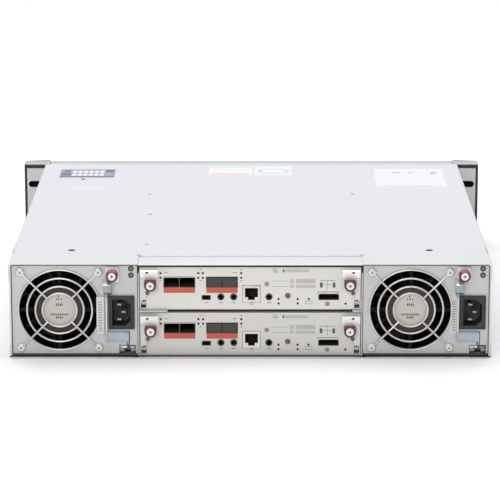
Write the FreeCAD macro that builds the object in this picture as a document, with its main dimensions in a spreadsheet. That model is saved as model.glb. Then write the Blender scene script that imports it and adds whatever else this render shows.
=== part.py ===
"""Two-unit rack disk shelf: a sheet-metal enclosure with twenty-four 2.5 inch bays in front, and two
power supplies and two controller modules behind. Lengths are millimetres. +Z is up, and the rear
panel faces -Y. The origin is on the underside, on the centre line, half way between the rear edge and
the rack ears. Every module slides in its own bay, and its handle, latches and screws move on it.
"""

import FreeCAD
import Part
import math
import os
import Sketcher
from FreeCAD import Placement, Rotation, Vector

SIZES = (
    # enclosure
    ("shelf_depth", 450.0),
    ("chassis_sheet", 1.2),
    ("cover_sheet", 1.0),
    ("cover_skirt", 16.0),
    ("cover_bend", 1.6),
    ("floor_lip", 5.0),
    ("lip_break", 3.0),
    ("beam_depth", 60.0),
    ("beam_seen", 34.0),
    ("beam_sheet", 1.0),
    ("beam_lip", 1.4),
    ("rail_foot_height", 10.0),
    ("rail_foot_depth", 9.0),
    ("dimple_radius", 3.5),
    ("dimple_depth", 0.5),
    ("dimple_inset", 56.2),
    ("dimple_from_side", 54.5),
    ("notch_width", 14.0),
    ("notch_depth", 1.2),
    ("notch_from_side", 37.5),
    ("notch_from_centre", 98.0),
    # rack ears
    ("ear_width", 19.8),
    ("ear_sheet", 2.0),
    ("ear_headroom", 3.4),
    ("rack_hole_from_edge", 8.75),
    ("rack_hole_pitch", 44.45),
    ("rack_slot_width", 6.9),
    ("rack_slot_length", 14.4),
    ("cap_wall", 2.4),
    ("cap_depth", 20.0),
    ("cap_crown", 3.0),
    ("cap_gusset", 5.0),
    # drive bays
    ("bay_count", 24.0),
    ("cage_side_gap", 2.8),
    ("cage_sheet", 1.2),
    ("cage_reach", 21.0),
    ("drive_depth", 136.0),
    ("board_sheet", 3.0),
    ("air_slot_width", 24.0),
    ("air_slot_height", 13.0),
    ("air_slot_offset", 30.0),
    ("drive_plug_width", 5.0),
    ("drive_plug_height", 42.0),
    ("drive_plug_depth", 8.0),
    ("guide_plate", 2.0),
    ("guide_rib_height", 2.0),
    ("guide_rib_width", 1.6),
    ("guide_setback", 14.0),
    # bay blanks
    ("blank_gap", 0.7),
    ("blank_face_depth", 10.0),
    ("blank_length", 112.0),
    ("blank_rail", 5.0),
    ("blank_web", 1.4),
    ("blank_wall", 1.8),
    ("blank_proud", 2.0),
    ("blank_edge", 1.0),
    ("blank_slot_width", 3.0),
    ("blank_slot_pitch", 6.0),
    ("blank_slot_height", 38.0),
    ("blank_slot_rise", 6.0),
    ("pull_width", 9.0),
    ("pull_height", 9.0),
    ("pull_reach", 4.5),
    ("pull_wall", 1.8),
    ("pull_inset", 5.0),
    # rear bays
    ("centre_bay_width", 203.8),
    ("divider_sheet", 1.2),
    ("divider_setback", 1.0),
    ("shelf_setback", 2.0),
    ("shelf_tab_width", 26.0),
    ("shelf_tab_reach", 2.0),
    ("seat_clearance", 0.3),
    ("psu_side_clearance", 0.6),
    ("psu_top_clearance", 0.5),
    ("controller_side_clearance", 0.5),
    ("controller_top_clearance", 1.8),
    ("panel_recess", 3.0),
    ("midplane_plug_depth", 9.0),
    ("midplane_plug_width", 60.0),
    ("midplane_plug_height", 14.0),
    ("plug_clearance", 0.5),
    # power supply
    ("psu_sheet", 1.0),
    ("fan_side_gap", 2.6),
    ("fan_height_gap", 1.5),
    ("fan_rise", 0.5),
    ("fan_depth", 38.0),
    ("fan_screw_inset", 4.25),
    ("fan_screw_radius", 2.2),
    ("fan_rim", 2.8),
    ("fan_strut_width", 4.0),
    ("fan_strut_depth", 3.5),
    ("fan_cup_radius", 21.5),
    ("fan_cup_wall", 1.6),
    ("fan_boss_wall", 3.0),
    ("fan_boss_depth", 8.0),
    ("fan_shaft_radius", 2.0),
    ("blade_count", 7.0),
    ("blade_clearance", 0.9),
    ("blade_sweep", 12.0),
    ("blade_bow", 2.2),
    ("blade_thickness", 2.0),
    ("running_clearance", 0.05),
    ("rotor_depth", 25.0),
    ("wire_radius", 0.8),
    ("weld_depth", 0.16),
    ("ring_inner_radius", 15.7),
    ("eyelet_radius", 3.2),
    ("psu_vent_width", 20.0),
    ("psu_vent_height", 30.0),
    ("inlet_gap", 6.8),
    ("inlet_from_right", 14.6),
    ("inlet_above_foot", 2.5),
    ("inlet_flange_width", 24.0),
    ("inlet_flange_height", 31.6),
    ("inlet_flange_sheet", 2.6),
    ("inlet_flange_border", 2.0),
    ("inlet_body_depth", 24.0),
    ("inlet_mouth_width", 16.8),
    ("inlet_mouth_height", 24.6),
    ("inlet_mouth_depth", 18.0),
    ("inlet_chamfer", 5.0),
    ("pin_width", 4.0),
    ("pin_sheet", 2.0),
    ("pin_length", 15.0),
    ("pin_pitch", 14.0),
    ("earth_pin_offset", 4.0),
    # power supply handle
    ("lever_sheet", 1.5),
    ("lever_gap", 0.8),
    ("psu_screw_from_right", 22.7),
    ("psu_screw_from_top", 8.2),
    ("psu_tab_half_width", 6.5),
    ("psu_tab_half_height", 7.0),
    ("web_from_right", 29.0),
    ("web_reach", 3.0),
    ("foot_height", 13.5),
    ("foot_width", 9.0),
    ("grip_width", 7.0),
    ("grip_lead", 1.5),
    ("grip_drop", 3.8),
    ("grip_height", 15.0),
    ("grip_above_inlet", 1.4),
    ("grip_slope", 4.0),
    ("grip_reach", 9.0),
    ("tail_from_right", 9.5),
    ("tail_clearance", 0.7),
    ("barrel_from_right", 16.5),
    ("barrel_width", 14.6),
    ("barrel_radius", 3.0),
    ("toe_width", 4.4),
    ("toe_drop", 3.3),
    ("pivot_height", 6.5),
    ("pivot_inset", 4.5),
    ("pivot_pin_radius", 1.5),
    ("pivot_lug", 1.5),
    ("pivot_lug_gap", 0.4),
    # captive screws
    ("screw_head_radius", 3.6),
    ("screw_head_length", 6.0),
    ("screw_collar_radius", 2.6),
    ("screw_collar_length", 2.0),
    ("screw_shank_radius", 1.5),
    ("screw_shank_length", 5.6),
    ("screw_clearance", 0.3),
    ("screw_swing_clearance", 1.0),
    # controller module
    ("controller_sheet", 1.0),
    ("latch_width", 16.5),
    ("latch_from_edge", 0.5),
    ("latch_stem_width", 5.5),
    ("latch_shoulder", 6.5),
    ("latch_shoulder_slope", 4.0),
    ("latch_screw_from_edge", 9.9),
    ("latch_screw_height", 24.4),
    ("latch_plate_bottom", 9.5),
    ("latch_tab_rise", 8.1),
    ("latch_from_top", 1.6),
    ("latch_tab_reach", 6.0),
    ("latch_pivot_height", 5.8),
    ("latch_barrel_radius", 2.6),
    ("latch_barrel_width", 4.2),
    ("logic_board_height", 5.0),
    ("logic_board_sheet", 1.6),
    ("logic_board_side", 12.0),
    ("logic_board_setback", 1.0),
    ("standoff_radius", 3.0),
    ("standoff_inset", 9.0),
    ("riser_depth", 70.0),
    ("sfp_height", 25.7),
    ("sfp_left_from_left", 36.4),
    ("sfp_right_from_left", 75.5),
    ("sfp_width", 28.6),
    ("sfp_tall", 9.8),
    ("sfp_depth", 46.0),
    ("sfp_wall", 0.6),
    ("sfp_plug_proud", 0.6),
    ("sfp_plug_depth", 15.0),
    ("sfp_plug_slack", 0.15),
    ("rj_from_centre", 1.1),
    ("rj_height", 14.6),
    ("rj_size", 16.0),
    ("rj_depth", 21.0),
    ("rj_mouth_width", 11.8),
    ("rj_mouth_tall", 8.6),
    ("rj_mouth_depth", 14.0),
    ("rj_key_width", 6.0),
    ("rj_key_tall", 2.6),
    ("sas_from_right", 29.4),
    ("sas_height", 12.8),
    ("sas_width", 18.3),
    ("sas_tall", 7.4),
    ("sas_depth", 16.0),
    ("sas_wall", 0.6),
    ("sas_mouth_tall", 5.0),
    ("sas_mouth_depth", 12.0),
    ("usb_from_left", 61.0),
    ("usb_height", 11.2),
    ("usb_width", 7.7),
    ("usb_tall", 3.9),
    ("usb_wall", 0.6),
    ("usb_depth", 9.0),
    ("usb_mouth_depth", 6.5),
    ("jack_height", 11.8),
    ("jack_radius", 3.0),
    ("jack_bore_radius", 1.8),
    ("jack_depth", 12.0),
    ("jack_bore_depth", 10.0),
    ("jack_far_from_left", 74.4),
    ("jack_near_from_left", 86.2),
    ("jack_right_from_centre", 17.2),
    ("port_gap", 0.3),
    ("port_proud", 0.4),
    ("button_from_centre", 34.5),
    ("button_height", 12.8),
    ("button_radius", 2.3),
    ("button_length", 6.0),
    ("button_proud", 1.0),
    ("button_travel", 0.9),
    ("button_flange", 0.9),
    ("switch_body_size", 7.0),
    ("switch_body_depth", 6.0),
)


class Size:
    """A length with its value now and the spreadsheet expression that keeps it right."""

    def __init__(self, value, text):
        self.value = float(value)
        self.text = text

    def _join(self, other, sign, value):
        there = other.text if isinstance(other, Size) else f"{other:g}"
        return Size(value, f"({self.text} {sign} {there})")

    def __add__(self, other):
        return self._join(other, "+", self.value + float(other))

    def __sub__(self, other):
        return self._join(other, "-", self.value - float(other))

    def __mul__(self, other):
        return self._join(other, "*", self.value * float(other))

    def __truediv__(self, other):
        return self._join(other, "/", self.value / float(other))

    def __neg__(self):
        return Size(-self.value, f"(0 - {self.text})")

    def __float__(self):
        return self.value


class Dimensions:
    """The spreadsheet's values, each read by its alias as a Size."""

    def __init__(self, spreadsheet):
        self._sheet = spreadsheet

    def __getattr__(self, alias):
        return Size(self._sheet.get(alias), f"sizes.{alias}")


doc = FreeCAD.newDocument("disk_shelf")
sheet = doc.addObject("Spreadsheet::Sheet", "sizes")
for row, (alias, number) in enumerate(SIZES, 1):
    sheet.set(f"A{row}", alias)
    sheet.set(f"B{row}", f"{number:g}")
    sheet.setAlias(f"B{row}", alias)
doc.recompute()
dim = Dimensions(sheet)

subparts = []

# How far a cutting tool runs past the faces that it cuts.
PAST = 1.0


def bind(thing, prop, value):
    """Sets a property of thing to a Size or a plain number."""
    thing.setExpression(prop, value.text if isinstance(value, Size) else f"{value:g}")


def place(thing, x, y, z, rotation=Rotation()):
    """Puts thing at a bound position, turned by a fixed rotation."""
    thing.Placement = Placement(Vector(float(x), float(y), float(z)), rotation)
    for axis, value in zip("xyz", (x, y, z)):
        if isinstance(value, Size):
            bind(thing, f"Placement.Base.{axis}", value)
    return thing


def box(name, x, y, z):
    """A block between two bound limits on each axis, each given as a (low, high) pair."""
    made = doc.addObject("Part::Box", name)
    for prop, (low, high) in zip(("Length", "Width", "Height"), (x, y, z)):
        bind(made, prop, high - low)
    return place(made, x[0], y[0], z[0])


ALONG = {
    "X": Rotation(Vector(0, 1, 0), 90),
    "Y": Rotation(Vector(1, 0, 0), -90),
    "Z": Rotation(),
}


def rod(name, along, radius, start, length):
    """A cylinder from its start point along +X, +Y or +Z."""
    made = doc.addObject("Part::Cylinder", name)
    bind(made, "Radius", radius)
    bind(made, "Height", length)
    return place(made, *start, ALONG[along])


def post(name, along, sides, radius, start, length):
    """A post of flat sides from its start point along +X, +Y or +Z."""
    made = doc.addObject("Part::Prism", name)
    made.Polygon = sides
    bind(made, "Circumradius", radius)
    bind(made, "Height", length)
    return place(made, *start, ALONG[along])


def join(name, *pieces):
    """One solid made of pieces that touch or overlap."""
    made = doc.addObject("Part::MultiFuse", name)
    made.Shapes = list(pieces)
    made.Refine = True
    return made


def cut(name, base, *tools):
    """Base with the tools cut out of it."""
    made = doc.addObject("Part::Cut", name)
    made.Base = base
    made.Tool = tools[0] if len(tools) == 1 else join(f"{name}_tools", *tools)
    made.Refine = True
    return made


def wire_ring(name, sides, radius, wire, centre):
    """A ring of square wire about an axis along Y, bent in short straight lengths."""
    x, y, z = centre
    rim = post(f"{name}_rim", "Y", sides, radius + wire, (x, y - wire, z), wire * 2)
    eye = post(f"{name}_eye", "Y", sides, radius - wire, (x, y - wire - PAST, z),
               wire * 2 + 2 * PAST)
    return cut(name, rim, eye)


def group(name, *pieces):
    """Separate solids that share a node."""
    made = doc.addObject("Part::Compound", name)
    made.Links = list(pieces)
    return made


def subpart(thing, label):
    """Marks a finished object as a sub-part, whose label names its file."""
    thing.Label = label
    subparts.append(thing)
    return thing


def instance(master, label, x=0, y=0, z=0):
    """A sub-part that is another copy of a master piece, moved by a bound amount."""
    copy = doc.addObject("App::Link", f"copy_{label}")
    copy.LinkedObject = master
    copy.LinkTransform = True
    place(copy, x, y, z)
    return subpart(copy, label)


def origin_plane(body, role):
    """One of a body's own origin planes or axes."""
    return next(f for f in body.Origin.OriginFeatures if f.Role == role)


def sketch_on(body, role, name, offset=None):
    """A sketch on one of the body's own origin planes, moved off it along its normal by offset."""
    made = body.newObject("Sketcher::SketchObject", name)
    made.AttachmentSupport = [(origin_plane(body, role), "")]
    made.MapMode = "FlatFace"
    if offset is not None:
        made.AttachmentOffset = Placement(Vector(0, 0, float(offset)), Rotation())
        bind(made, "AttachmentOffset.Base.z", offset)
    return made


def hold(sketch, kind, where, value):
    """A constraint with a bound value."""
    at = sketch.addConstraint(Sketcher.Constraint(kind, *where, float(value)))
    if isinstance(value, Size):
        bind(sketch, f"Constraints[{at}]", value)


def hold_point(sketch, edge, point, x, y):
    """Fixes one point of an edge at bound coordinates."""
    hold(sketch, "DistanceX", (edge, point), x)
    hold(sketch, "DistanceY", (edge, point), y)


def draw_outline(sketch, points):
    """A closed outline of straight lines through bound points."""
    first = sketch.GeometryCount
    count = len(points)
    ends = [Vector(float(x), float(y), 0) for x, y in points]
    for i in range(count):
        sketch.addGeometry(Part.LineSegment(ends[i], ends[(i + 1) % count]), False)
    for i in range(count):
        here, following = first + i, first + (i + 1) % count
        sketch.addConstraint(Sketcher.Constraint("Coincident", here, 2, following, 1))
    for i, (x, y) in enumerate(points):
        hold_point(sketch, first + i, 1, x, y)


def rectangle(x, y):
    """The corners of a rectangle between two (low, high) pairs."""
    return [(x[0], y[0]), (x[1], y[0]), (x[1], y[1]), (x[0], y[1])]


def flat_sided(radius, sides):
    """The corners of a regular outline about the origin, the first half a side past the X axis."""
    turns = [2 * math.pi * (corner + 0.5) / sides for corner in range(sides)]
    return [(radius * math.cos(turn), radius * math.sin(turn)) for turn in turns]


def pad(body, sketch, length, name):
    """A pad of the sketch along its plane's normal."""
    made = body.newObject("PartDesign::Pad", name)
    made.Profile = sketch
    bind(made, "Length", length)
    return made


def profile_body(name, role, outlines, length, at=(0, 0, 0)):
    """A body with one profile, whose inner outlines are holes, padded along the plane's normal.

    The XZ plane's normal points along -Y, the YZ plane's along +X and the XY plane's along +Z.
    """
    body = doc.addObject("PartDesign::Body", name)
    profile = sketch_on(body, role, f"{name}_profile")
    for outline in outlines:
        draw_outline(profile, outline)
    pad(body, profile, length, f"{name}_pad")
    return place(body, *at)


def edges_where(shape, wanted):
    """The names of the straight edges whose two end points satisfy wanted."""
    names = []
    for number, edge in enumerate(shape.Edges, 1):
        ends = [vertex.Point for vertex in edge.Vertexes]
        if len(ends) == 2 and wanted(*ends):
            names.append(f"Edge{number}")
    return names


def soften_edges(body, kind, size, name, wanted):
    """A fillet or chamfer of a bound size on the body's edges that satisfy wanted."""
    doc.recompute()
    base = body.Tip
    made = body.newObject(f"PartDesign::{kind}", name)
    made.Base = (base, edges_where(base.Shape, wanted))
    bind(made, "Radius" if kind == "Fillet" else "Size", size)
    return made


def about(middle, width):
    """The (low, high) pair of a width centred on middle."""
    return (middle - width / 2, middle + width / 2)


def on_side(sign, low, high):
    """A stretch of X, or the same stretch mirrored to the left for sign -1."""
    return (low, high) if sign > 0 else (-high, -low)


SIDES = (("left", -1), ("right", 1))

# The sides of a fan's hub, of a captive screw's head, of small round pieces and windows that
# nothing turns in, of a lever's pivot barrel on its outside, and of a standoff.
HUB_SIDES = 24
HEAD_SIDES = 20
SMALL_ROUND_SIDES = 12
BARREL_SIDES = 8
STANDOFF_SIDES = 6

# Half the width of a lever's arm at its pivot, as a share of the barrel's radius.
ARM_SHARE = 0.8

# Places that several pieces share.
zero = dim.shelf_depth * 0
rear_edge = -dim.shelf_depth / 2
ear_plane = dim.shelf_depth / 2
floor_top = dim.chassis_sheet
module_bottom = floor_top + dim.seat_clearance

# A supply's panel stacks its pivoted foot, inlet, grip and screw, which sets the shelf's height,
# 88 on this two-unit shelf. The fan fills that height, and the inlet stands beside it.
foot_z = (module_bottom + dim.foot_height, module_bottom + dim.foot_height + dim.foot_width)
inlet_low = foot_z[1] + dim.inlet_above_foot
grip_low = inlet_low + dim.inlet_flange_height + dim.grip_above_inlet
grip_top = grip_low + dim.grip_height
psu_screw_z = grip_top + dim.grip_drop
psu_top = psu_screw_z + dim.psu_screw_from_top
psu_height = psu_top - module_bottom
fan_size = psu_height - (dim.psu_sheet + dim.fan_height_gap) * 2
fan_x = dim.psu_sheet + dim.fan_side_gap + fan_size / 2
inlet_body_width = dim.inlet_flange_width - dim.inlet_flange_border * 2
inlet_x = fan_x + fan_size / 2 + dim.inlet_gap + inlet_body_width / 2
psu_width = inlet_x + dim.inlet_from_right
cover_under = psu_top + dim.psu_top_clearance
shelf_top = cover_under + dim.cover_sheet

# The centre bay and a supply's bay on each side of it set the shelf's width, 443.
divider_inner = dim.centre_bay_width / 2
divider_outer = divider_inner + dim.divider_sheet
wall_inner = divider_outer + psu_width + dim.psu_side_clearance * 2
wall_outer = wall_inner + dim.chassis_sheet
half_width = wall_outer + dim.cover_sheet
ear_outer = half_width + dim.ear_width
ear_top = cover_under - dim.ear_headroom
half_cage = wall_inner - dim.cage_side_gap
cage_front = ear_plane + dim.cage_reach
board_front = cage_front - dim.drive_depth
board_rear = board_front - dim.board_sheet
panel_face = rear_edge + dim.panel_recess
module_front = board_rear - dim.midplane_plug_depth - dim.plug_clearance
beam_under = cover_under - dim.beam_sheet
level_pitch = (cover_under - floor_top + dim.divider_sheet) / 2
controller_width = dim.centre_bay_width - dim.controller_side_clearance * 2
controller_height = (level_pitch - dim.divider_sheet - dim.seat_clearance
                     - dim.controller_top_clearance)
cage_inner = half_cage - dim.cage_sheet
bay_pitch = cage_inner * 2 / dim.bay_count
bay_floor = floor_top + dim.cage_sheet
bay_roof = cover_under - dim.cage_sheet
BAYS = int(round(float(dim.bay_count)))
pivot_y = panel_face + dim.pivot_inset
lever_back = panel_face - dim.lever_gap
lever_front = lever_back - dim.lever_sheet


def make_chassis_tray():
    """The folded base: floor with its rear lip, side walls, rail feet and slotted rack ears."""
    channel = profile_body(
        "tray_channel",
        "XZ_Plane",
        [[(-wall_outer, zero), (wall_outer, zero), (wall_outer, cover_under),
          (wall_inner, cover_under), (wall_inner, floor_top), (-wall_inner, floor_top),
          (-wall_inner, cover_under), (-wall_outer, cover_under)]],
        dim.shelf_depth,
        (0, ear_plane, 0),
    )
    pieces = [channel]
    lip = (rear_edge - dim.floor_lip, rear_edge)
    pieces.append(box("tray_lip_centre", about(zero, dim.centre_bay_width), lip,
                      (zero, floor_top)))
    for side, sign in SIDES:
        outer_lip = on_side(sign, divider_outer + dim.lip_break, wall_inner)
        pieces.append(box(f"tray_lip_{side}", outer_lip, lip, (zero, floor_top)))
        pieces.append(box(f"tray_rail_foot_{side}", on_side(sign, wall_outer, half_width),
                          (rear_edge, rear_edge + dim.rail_foot_depth),
                          (zero, dim.rail_foot_height)))
        pieces.append(box(f"tray_ear_{side}", on_side(sign, half_cage, ear_outer),
                          (ear_plane, ear_plane + dim.ear_sheet), (zero, ear_top)))
    tray = join("tray_joined", *pieces)
    return subpart(cut("tray_slotted", tray, *rack_slot_cutters()), "chassis_tray")


def rack_slot_cutters():
    """Four round-ended slots through the rack ears, at the rack's own hole spacing."""
    radius = dim.rack_slot_width / 2
    half_straight = dim.rack_slot_length / 2 - radius
    start = ear_plane - PAST
    length = dim.ear_sheet + 2 * PAST
    cutters = []
    for side, sign in SIDES:
        x = (ear_outer - dim.rack_hole_from_edge) * sign
        for level, rise in (("low", -1), ("high", 1)):
            z = shelf_top / 2 + dim.rack_hole_pitch * (rise / 2)
            name = f"rack_slot_{side}_{level}"
            cutters.append(box(name, about(x, half_straight * 2), (start, start + length),
                               about(z, dim.rack_slot_width)))
            for end in (-1, 1):
                at = (x + half_straight * end, start, z)
                cutters.append(rod(f"{name}_end_{end + 1}", "Y", radius, at, length))
    return cutters


def make_top_cover():
    """The lid, folded down over both side walls, cut back over the rear cross-beam."""
    skirt = shelf_top - dim.cover_skirt
    body = profile_body(
        "cover_fold",
        "XZ_Plane",
        [[(-half_width, skirt), (-half_width, shelf_top), (half_width, shelf_top),
          (half_width, skirt), (wall_outer, skirt), (wall_outer, cover_under),
          (-wall_outer, cover_under), (-wall_outer, skirt)]],
        dim.shelf_depth,
        (0, ear_plane, 0),
    )
    top, side = float(shelf_top), float(half_width)

    def is_fold(a, b):
        along = abs(a.y - b.y) > PAST
        return along and all(abs(p.z - top) + abs(abs(p.x) - side) < 0.01 for p in (a, b))

    soften_edges(body, "Fillet", dim.cover_bend, "cover_folds", is_fold)
    through = (cover_under - PAST, shelf_top + PAST)
    cutters = [box("cover_window", about(zero, divider_outer * 2),
                   (rear_edge - PAST, rear_edge + dim.beam_seen), through)]
    for side_name, sign in SIDES:
        at = ((half_width - dim.dimple_from_side) * sign, rear_edge + dim.dimple_inset,
              shelf_top - dim.dimple_depth)
        cutters.append(rod(f"cover_dimple_{side_name}", "Z", dim.dimple_radius, at,
                           dim.dimple_depth + PAST))
        for key, x in (("outer", half_width - dim.notch_from_side),
                       ("inner", dim.notch_from_centre)):
            cutters.append(box(f"cover_notch_{key}_{side_name}", about(x * sign, dim.notch_width),
                               (ear_plane - dim.notch_depth, ear_plane + PAST), through))
    return subpart(cut("cover_cut", body, *cutters), "top_cover")


def make_ear_cap(side, sign):
    """A moulded cap over the front of a rack ear: crowned face, side walls, lids and gussets."""
    inner = half_cage + dim.seat_clearance
    outer = ear_outer + dim.seat_clearance + dim.cap_wall
    front = ear_plane + dim.cap_depth
    crown = dim.cap_crown
    behind = ear_plane + dim.ear_sheet + dim.seat_clearance
    wall = dim.cap_wall

    def across(points):
        return [(x if sign > 0 else -x, y) for x, y in points]

    shell = profile_body(
        f"cap_{side}_shell",
        "XY_Plane",
        [across([(inner, front + crown), (inner, behind), (inner + wall, behind),
                 (inner + wall, front + crown - wall), (outer - wall * 2, front - wall / 2),
                 (outer - wall, front - crown - wall / 2), (outer - wall, ear_plane),
                 (outer, ear_plane), (outer, front - crown), (outer - crown, front)])],
        shelf_top,
    )
    lids = []
    for key, rear, stretch in (
            ("bottom", behind, (zero, wall)),
            ("top", ear_plane, (ear_top + dim.seat_clearance, shelf_top))):
        lids.append(box(f"cap_{side}_{key}", on_side(sign, inner, outer - wall / 2),
                        (rear, front - crown), stretch))
    gusset_top = ear_top + wall / 2
    gusset = profile_body(
        f"cap_{side}_gusset",
        "XZ_Plane",
        [across([(outer - wall, ear_top - dim.cap_gusset), (outer - wall, gusset_top),
                 (outer - wall - dim.cap_gusset, gusset_top)])],
        dim.cap_depth / 2,
        (0, behind + dim.cap_depth / 2, 0),
    )
    return subpart(join(f"cap_{side}", shell, *lids, gusset), f"ear_cap_{side}")


def make_drive_cage():
    """The rectangular sleeve that holds the bays and stands ahead of the rack ears."""
    inner_z = (floor_top + dim.cage_sheet, cover_under - dim.cage_sheet)
    return subpart(profile_body(
        "cage_sleeve",
        "XZ_Plane",
        [rectangle((-half_cage, half_cage), (floor_top, cover_under)),
         rectangle((-cage_inner, cage_inner), inner_z)],
        dim.drive_depth + dim.board_sheet,
        (0, cage_front, 0),
    ), "drive_cage")


def repeat_along_x(body, name, feature, step, count):
    """A row of copies of a feature along the body's X axis."""
    row = body.newObject("PartDesign::LinearPattern", name)
    row.Originals = [feature]
    row.Direction = (origin_plane(body, "X_Axis"), [""])
    bind(row, "Length", step * (count - 1))
    row.Occurrences = count
    body.Tip = row
    return row


def make_drive_guides():
    """Two moulded plates, below and above the bays, with a rib between each bay and the next."""
    front = cage_front - dim.guide_setback
    length = front - board_front
    plates = []
    for level, sign, z in (("lower", 1, bay_floor), ("upper", -1, bay_roof)):
        body = doc.addObject("PartDesign::Body", f"guide_{level}")
        plate = sketch_on(body, "XZ_Plane", f"guide_{level}_plate")
        draw_outline(plate, rectangle((-cage_inner, cage_inner),
                                      on_side(sign, zero, dim.guide_plate)))
        pad(body, plate, length, f"guide_{level}_plate_pad")
        rib = sketch_on(body, "XZ_Plane", f"guide_{level}_rib")
        first = bay_pitch - cage_inner
        rise = on_side(sign, dim.guide_plate / 2, dim.guide_plate + dim.guide_rib_height)
        draw_outline(rib, rectangle(about(first, dim.guide_rib_width), rise))
        ribbed = pad(body, rib, length, f"guide_{level}_rib_pad")
        repeat_along_x(body, f"guide_{level}_ribs", ribbed, bay_pitch, BAYS - 1)
        plates.append(place(body, 0, front, z))
    return subpart(group("guide_pair", *plates), "drive_guides")


def make_midplane():
    """The board between bays and rear modules, with air slots and the plugs on both its faces."""
    body = profile_body("midplane_plate", "XZ_Plane",
                        [rectangle((-cage_inner, cage_inner), (bay_floor, bay_roof))],
                        dim.board_sheet, (0, board_front, 0))
    middle = (bay_floor + bay_roof) / 2
    slots = sketch_on(body, "XZ_Plane", "midplane_slot")
    first = bay_pitch / 2 - cage_inner
    for sign in (-1, 1):
        draw_outline(slots, rectangle(about(first + bay_pitch / 2, dim.air_slot_width),
                                      about(middle + dim.air_slot_offset * sign,
                                            dim.air_slot_height)))
    pocket = body.newObject("PartDesign::Pocket", "midplane_slot_cut")
    pocket.Profile = slots
    pocket.Type = "ThroughAll"
    pocket.Midplane = True
    repeat_along_x(body, "midplane_slots", pocket, bay_pitch * 2, BAYS // 2)
    plug = sketch_on(body, "XZ_Plane", "midplane_drive_plug")
    draw_outline(plug, rectangle(about(first, dim.drive_plug_width),
                                 about(middle, dim.drive_plug_height)))
    plugged = pad(body, plug, dim.drive_plug_depth, "midplane_drive_plug_pad")
    plugged.Reversed = True
    repeat_along_x(body, "midplane_drive_plugs", plugged, bay_pitch, BAYS)
    rear = sketch_on(body, "XZ_Plane", "midplane_module_plugs", dim.board_sheet)
    bay_middle = (divider_outer + wall_inner) / 2
    low = module_bottom + controller_height / 2
    for x, z in ((-bay_middle, low), (bay_middle, low), (zero, low), (zero, low + level_pitch)):
        draw_outline(rear, rectangle(about(x, dim.midplane_plug_width),
                                     about(z, dim.midplane_plug_height)))
    pad(body, rear, dim.midplane_plug_depth, "midplane_module_plug_pad")
    return subpart(body, "midplane_board")


def make_bay_frame():
    """Two walls beside the controllers, the shelf between those, and the beam over them."""
    depth = (rear_edge + dim.divider_setback, board_rear)
    pieces = []
    tabs = []
    shelf_top = floor_top + level_pitch
    level = (shelf_top - dim.divider_sheet, shelf_top)
    shelf_rear = panel_face + dim.shelf_setback
    for side, sign in SIDES:
        pieces.append(box(f"frame_wall_{side}", on_side(sign, divider_inner, divider_outer), depth,
                          (floor_top, beam_under)))
        tabs.append(box(f"frame_shelf_tab_{side}",
                        on_side(sign, divider_inner - dim.shelf_tab_width, divider_inner),
                        (rear_edge - dim.shelf_tab_reach, shelf_rear), level))
    plate = box("frame_shelf_plate", about(zero, dim.centre_bay_width), (shelf_rear, board_rear),
                level)
    pieces.append(join("frame_shelf", plate, *tabs))
    pieces.append(profile_body(
        "frame_beam",
        "YZ_Plane",
        [[(rear_edge, cover_under), (rear_edge, cover_under - dim.beam_lip),
          (rear_edge + dim.divider_setback, cover_under - dim.beam_lip),
          (rear_edge + dim.divider_setback, beam_under), (rear_edge + dim.beam_depth, beam_under),
          (rear_edge + dim.beam_depth, cover_under)]],
        divider_outer * 2,
        (-divider_outer, 0, 0),
    ))
    return subpart(group("frame_pieces", *pieces), "bay_frame")


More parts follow.
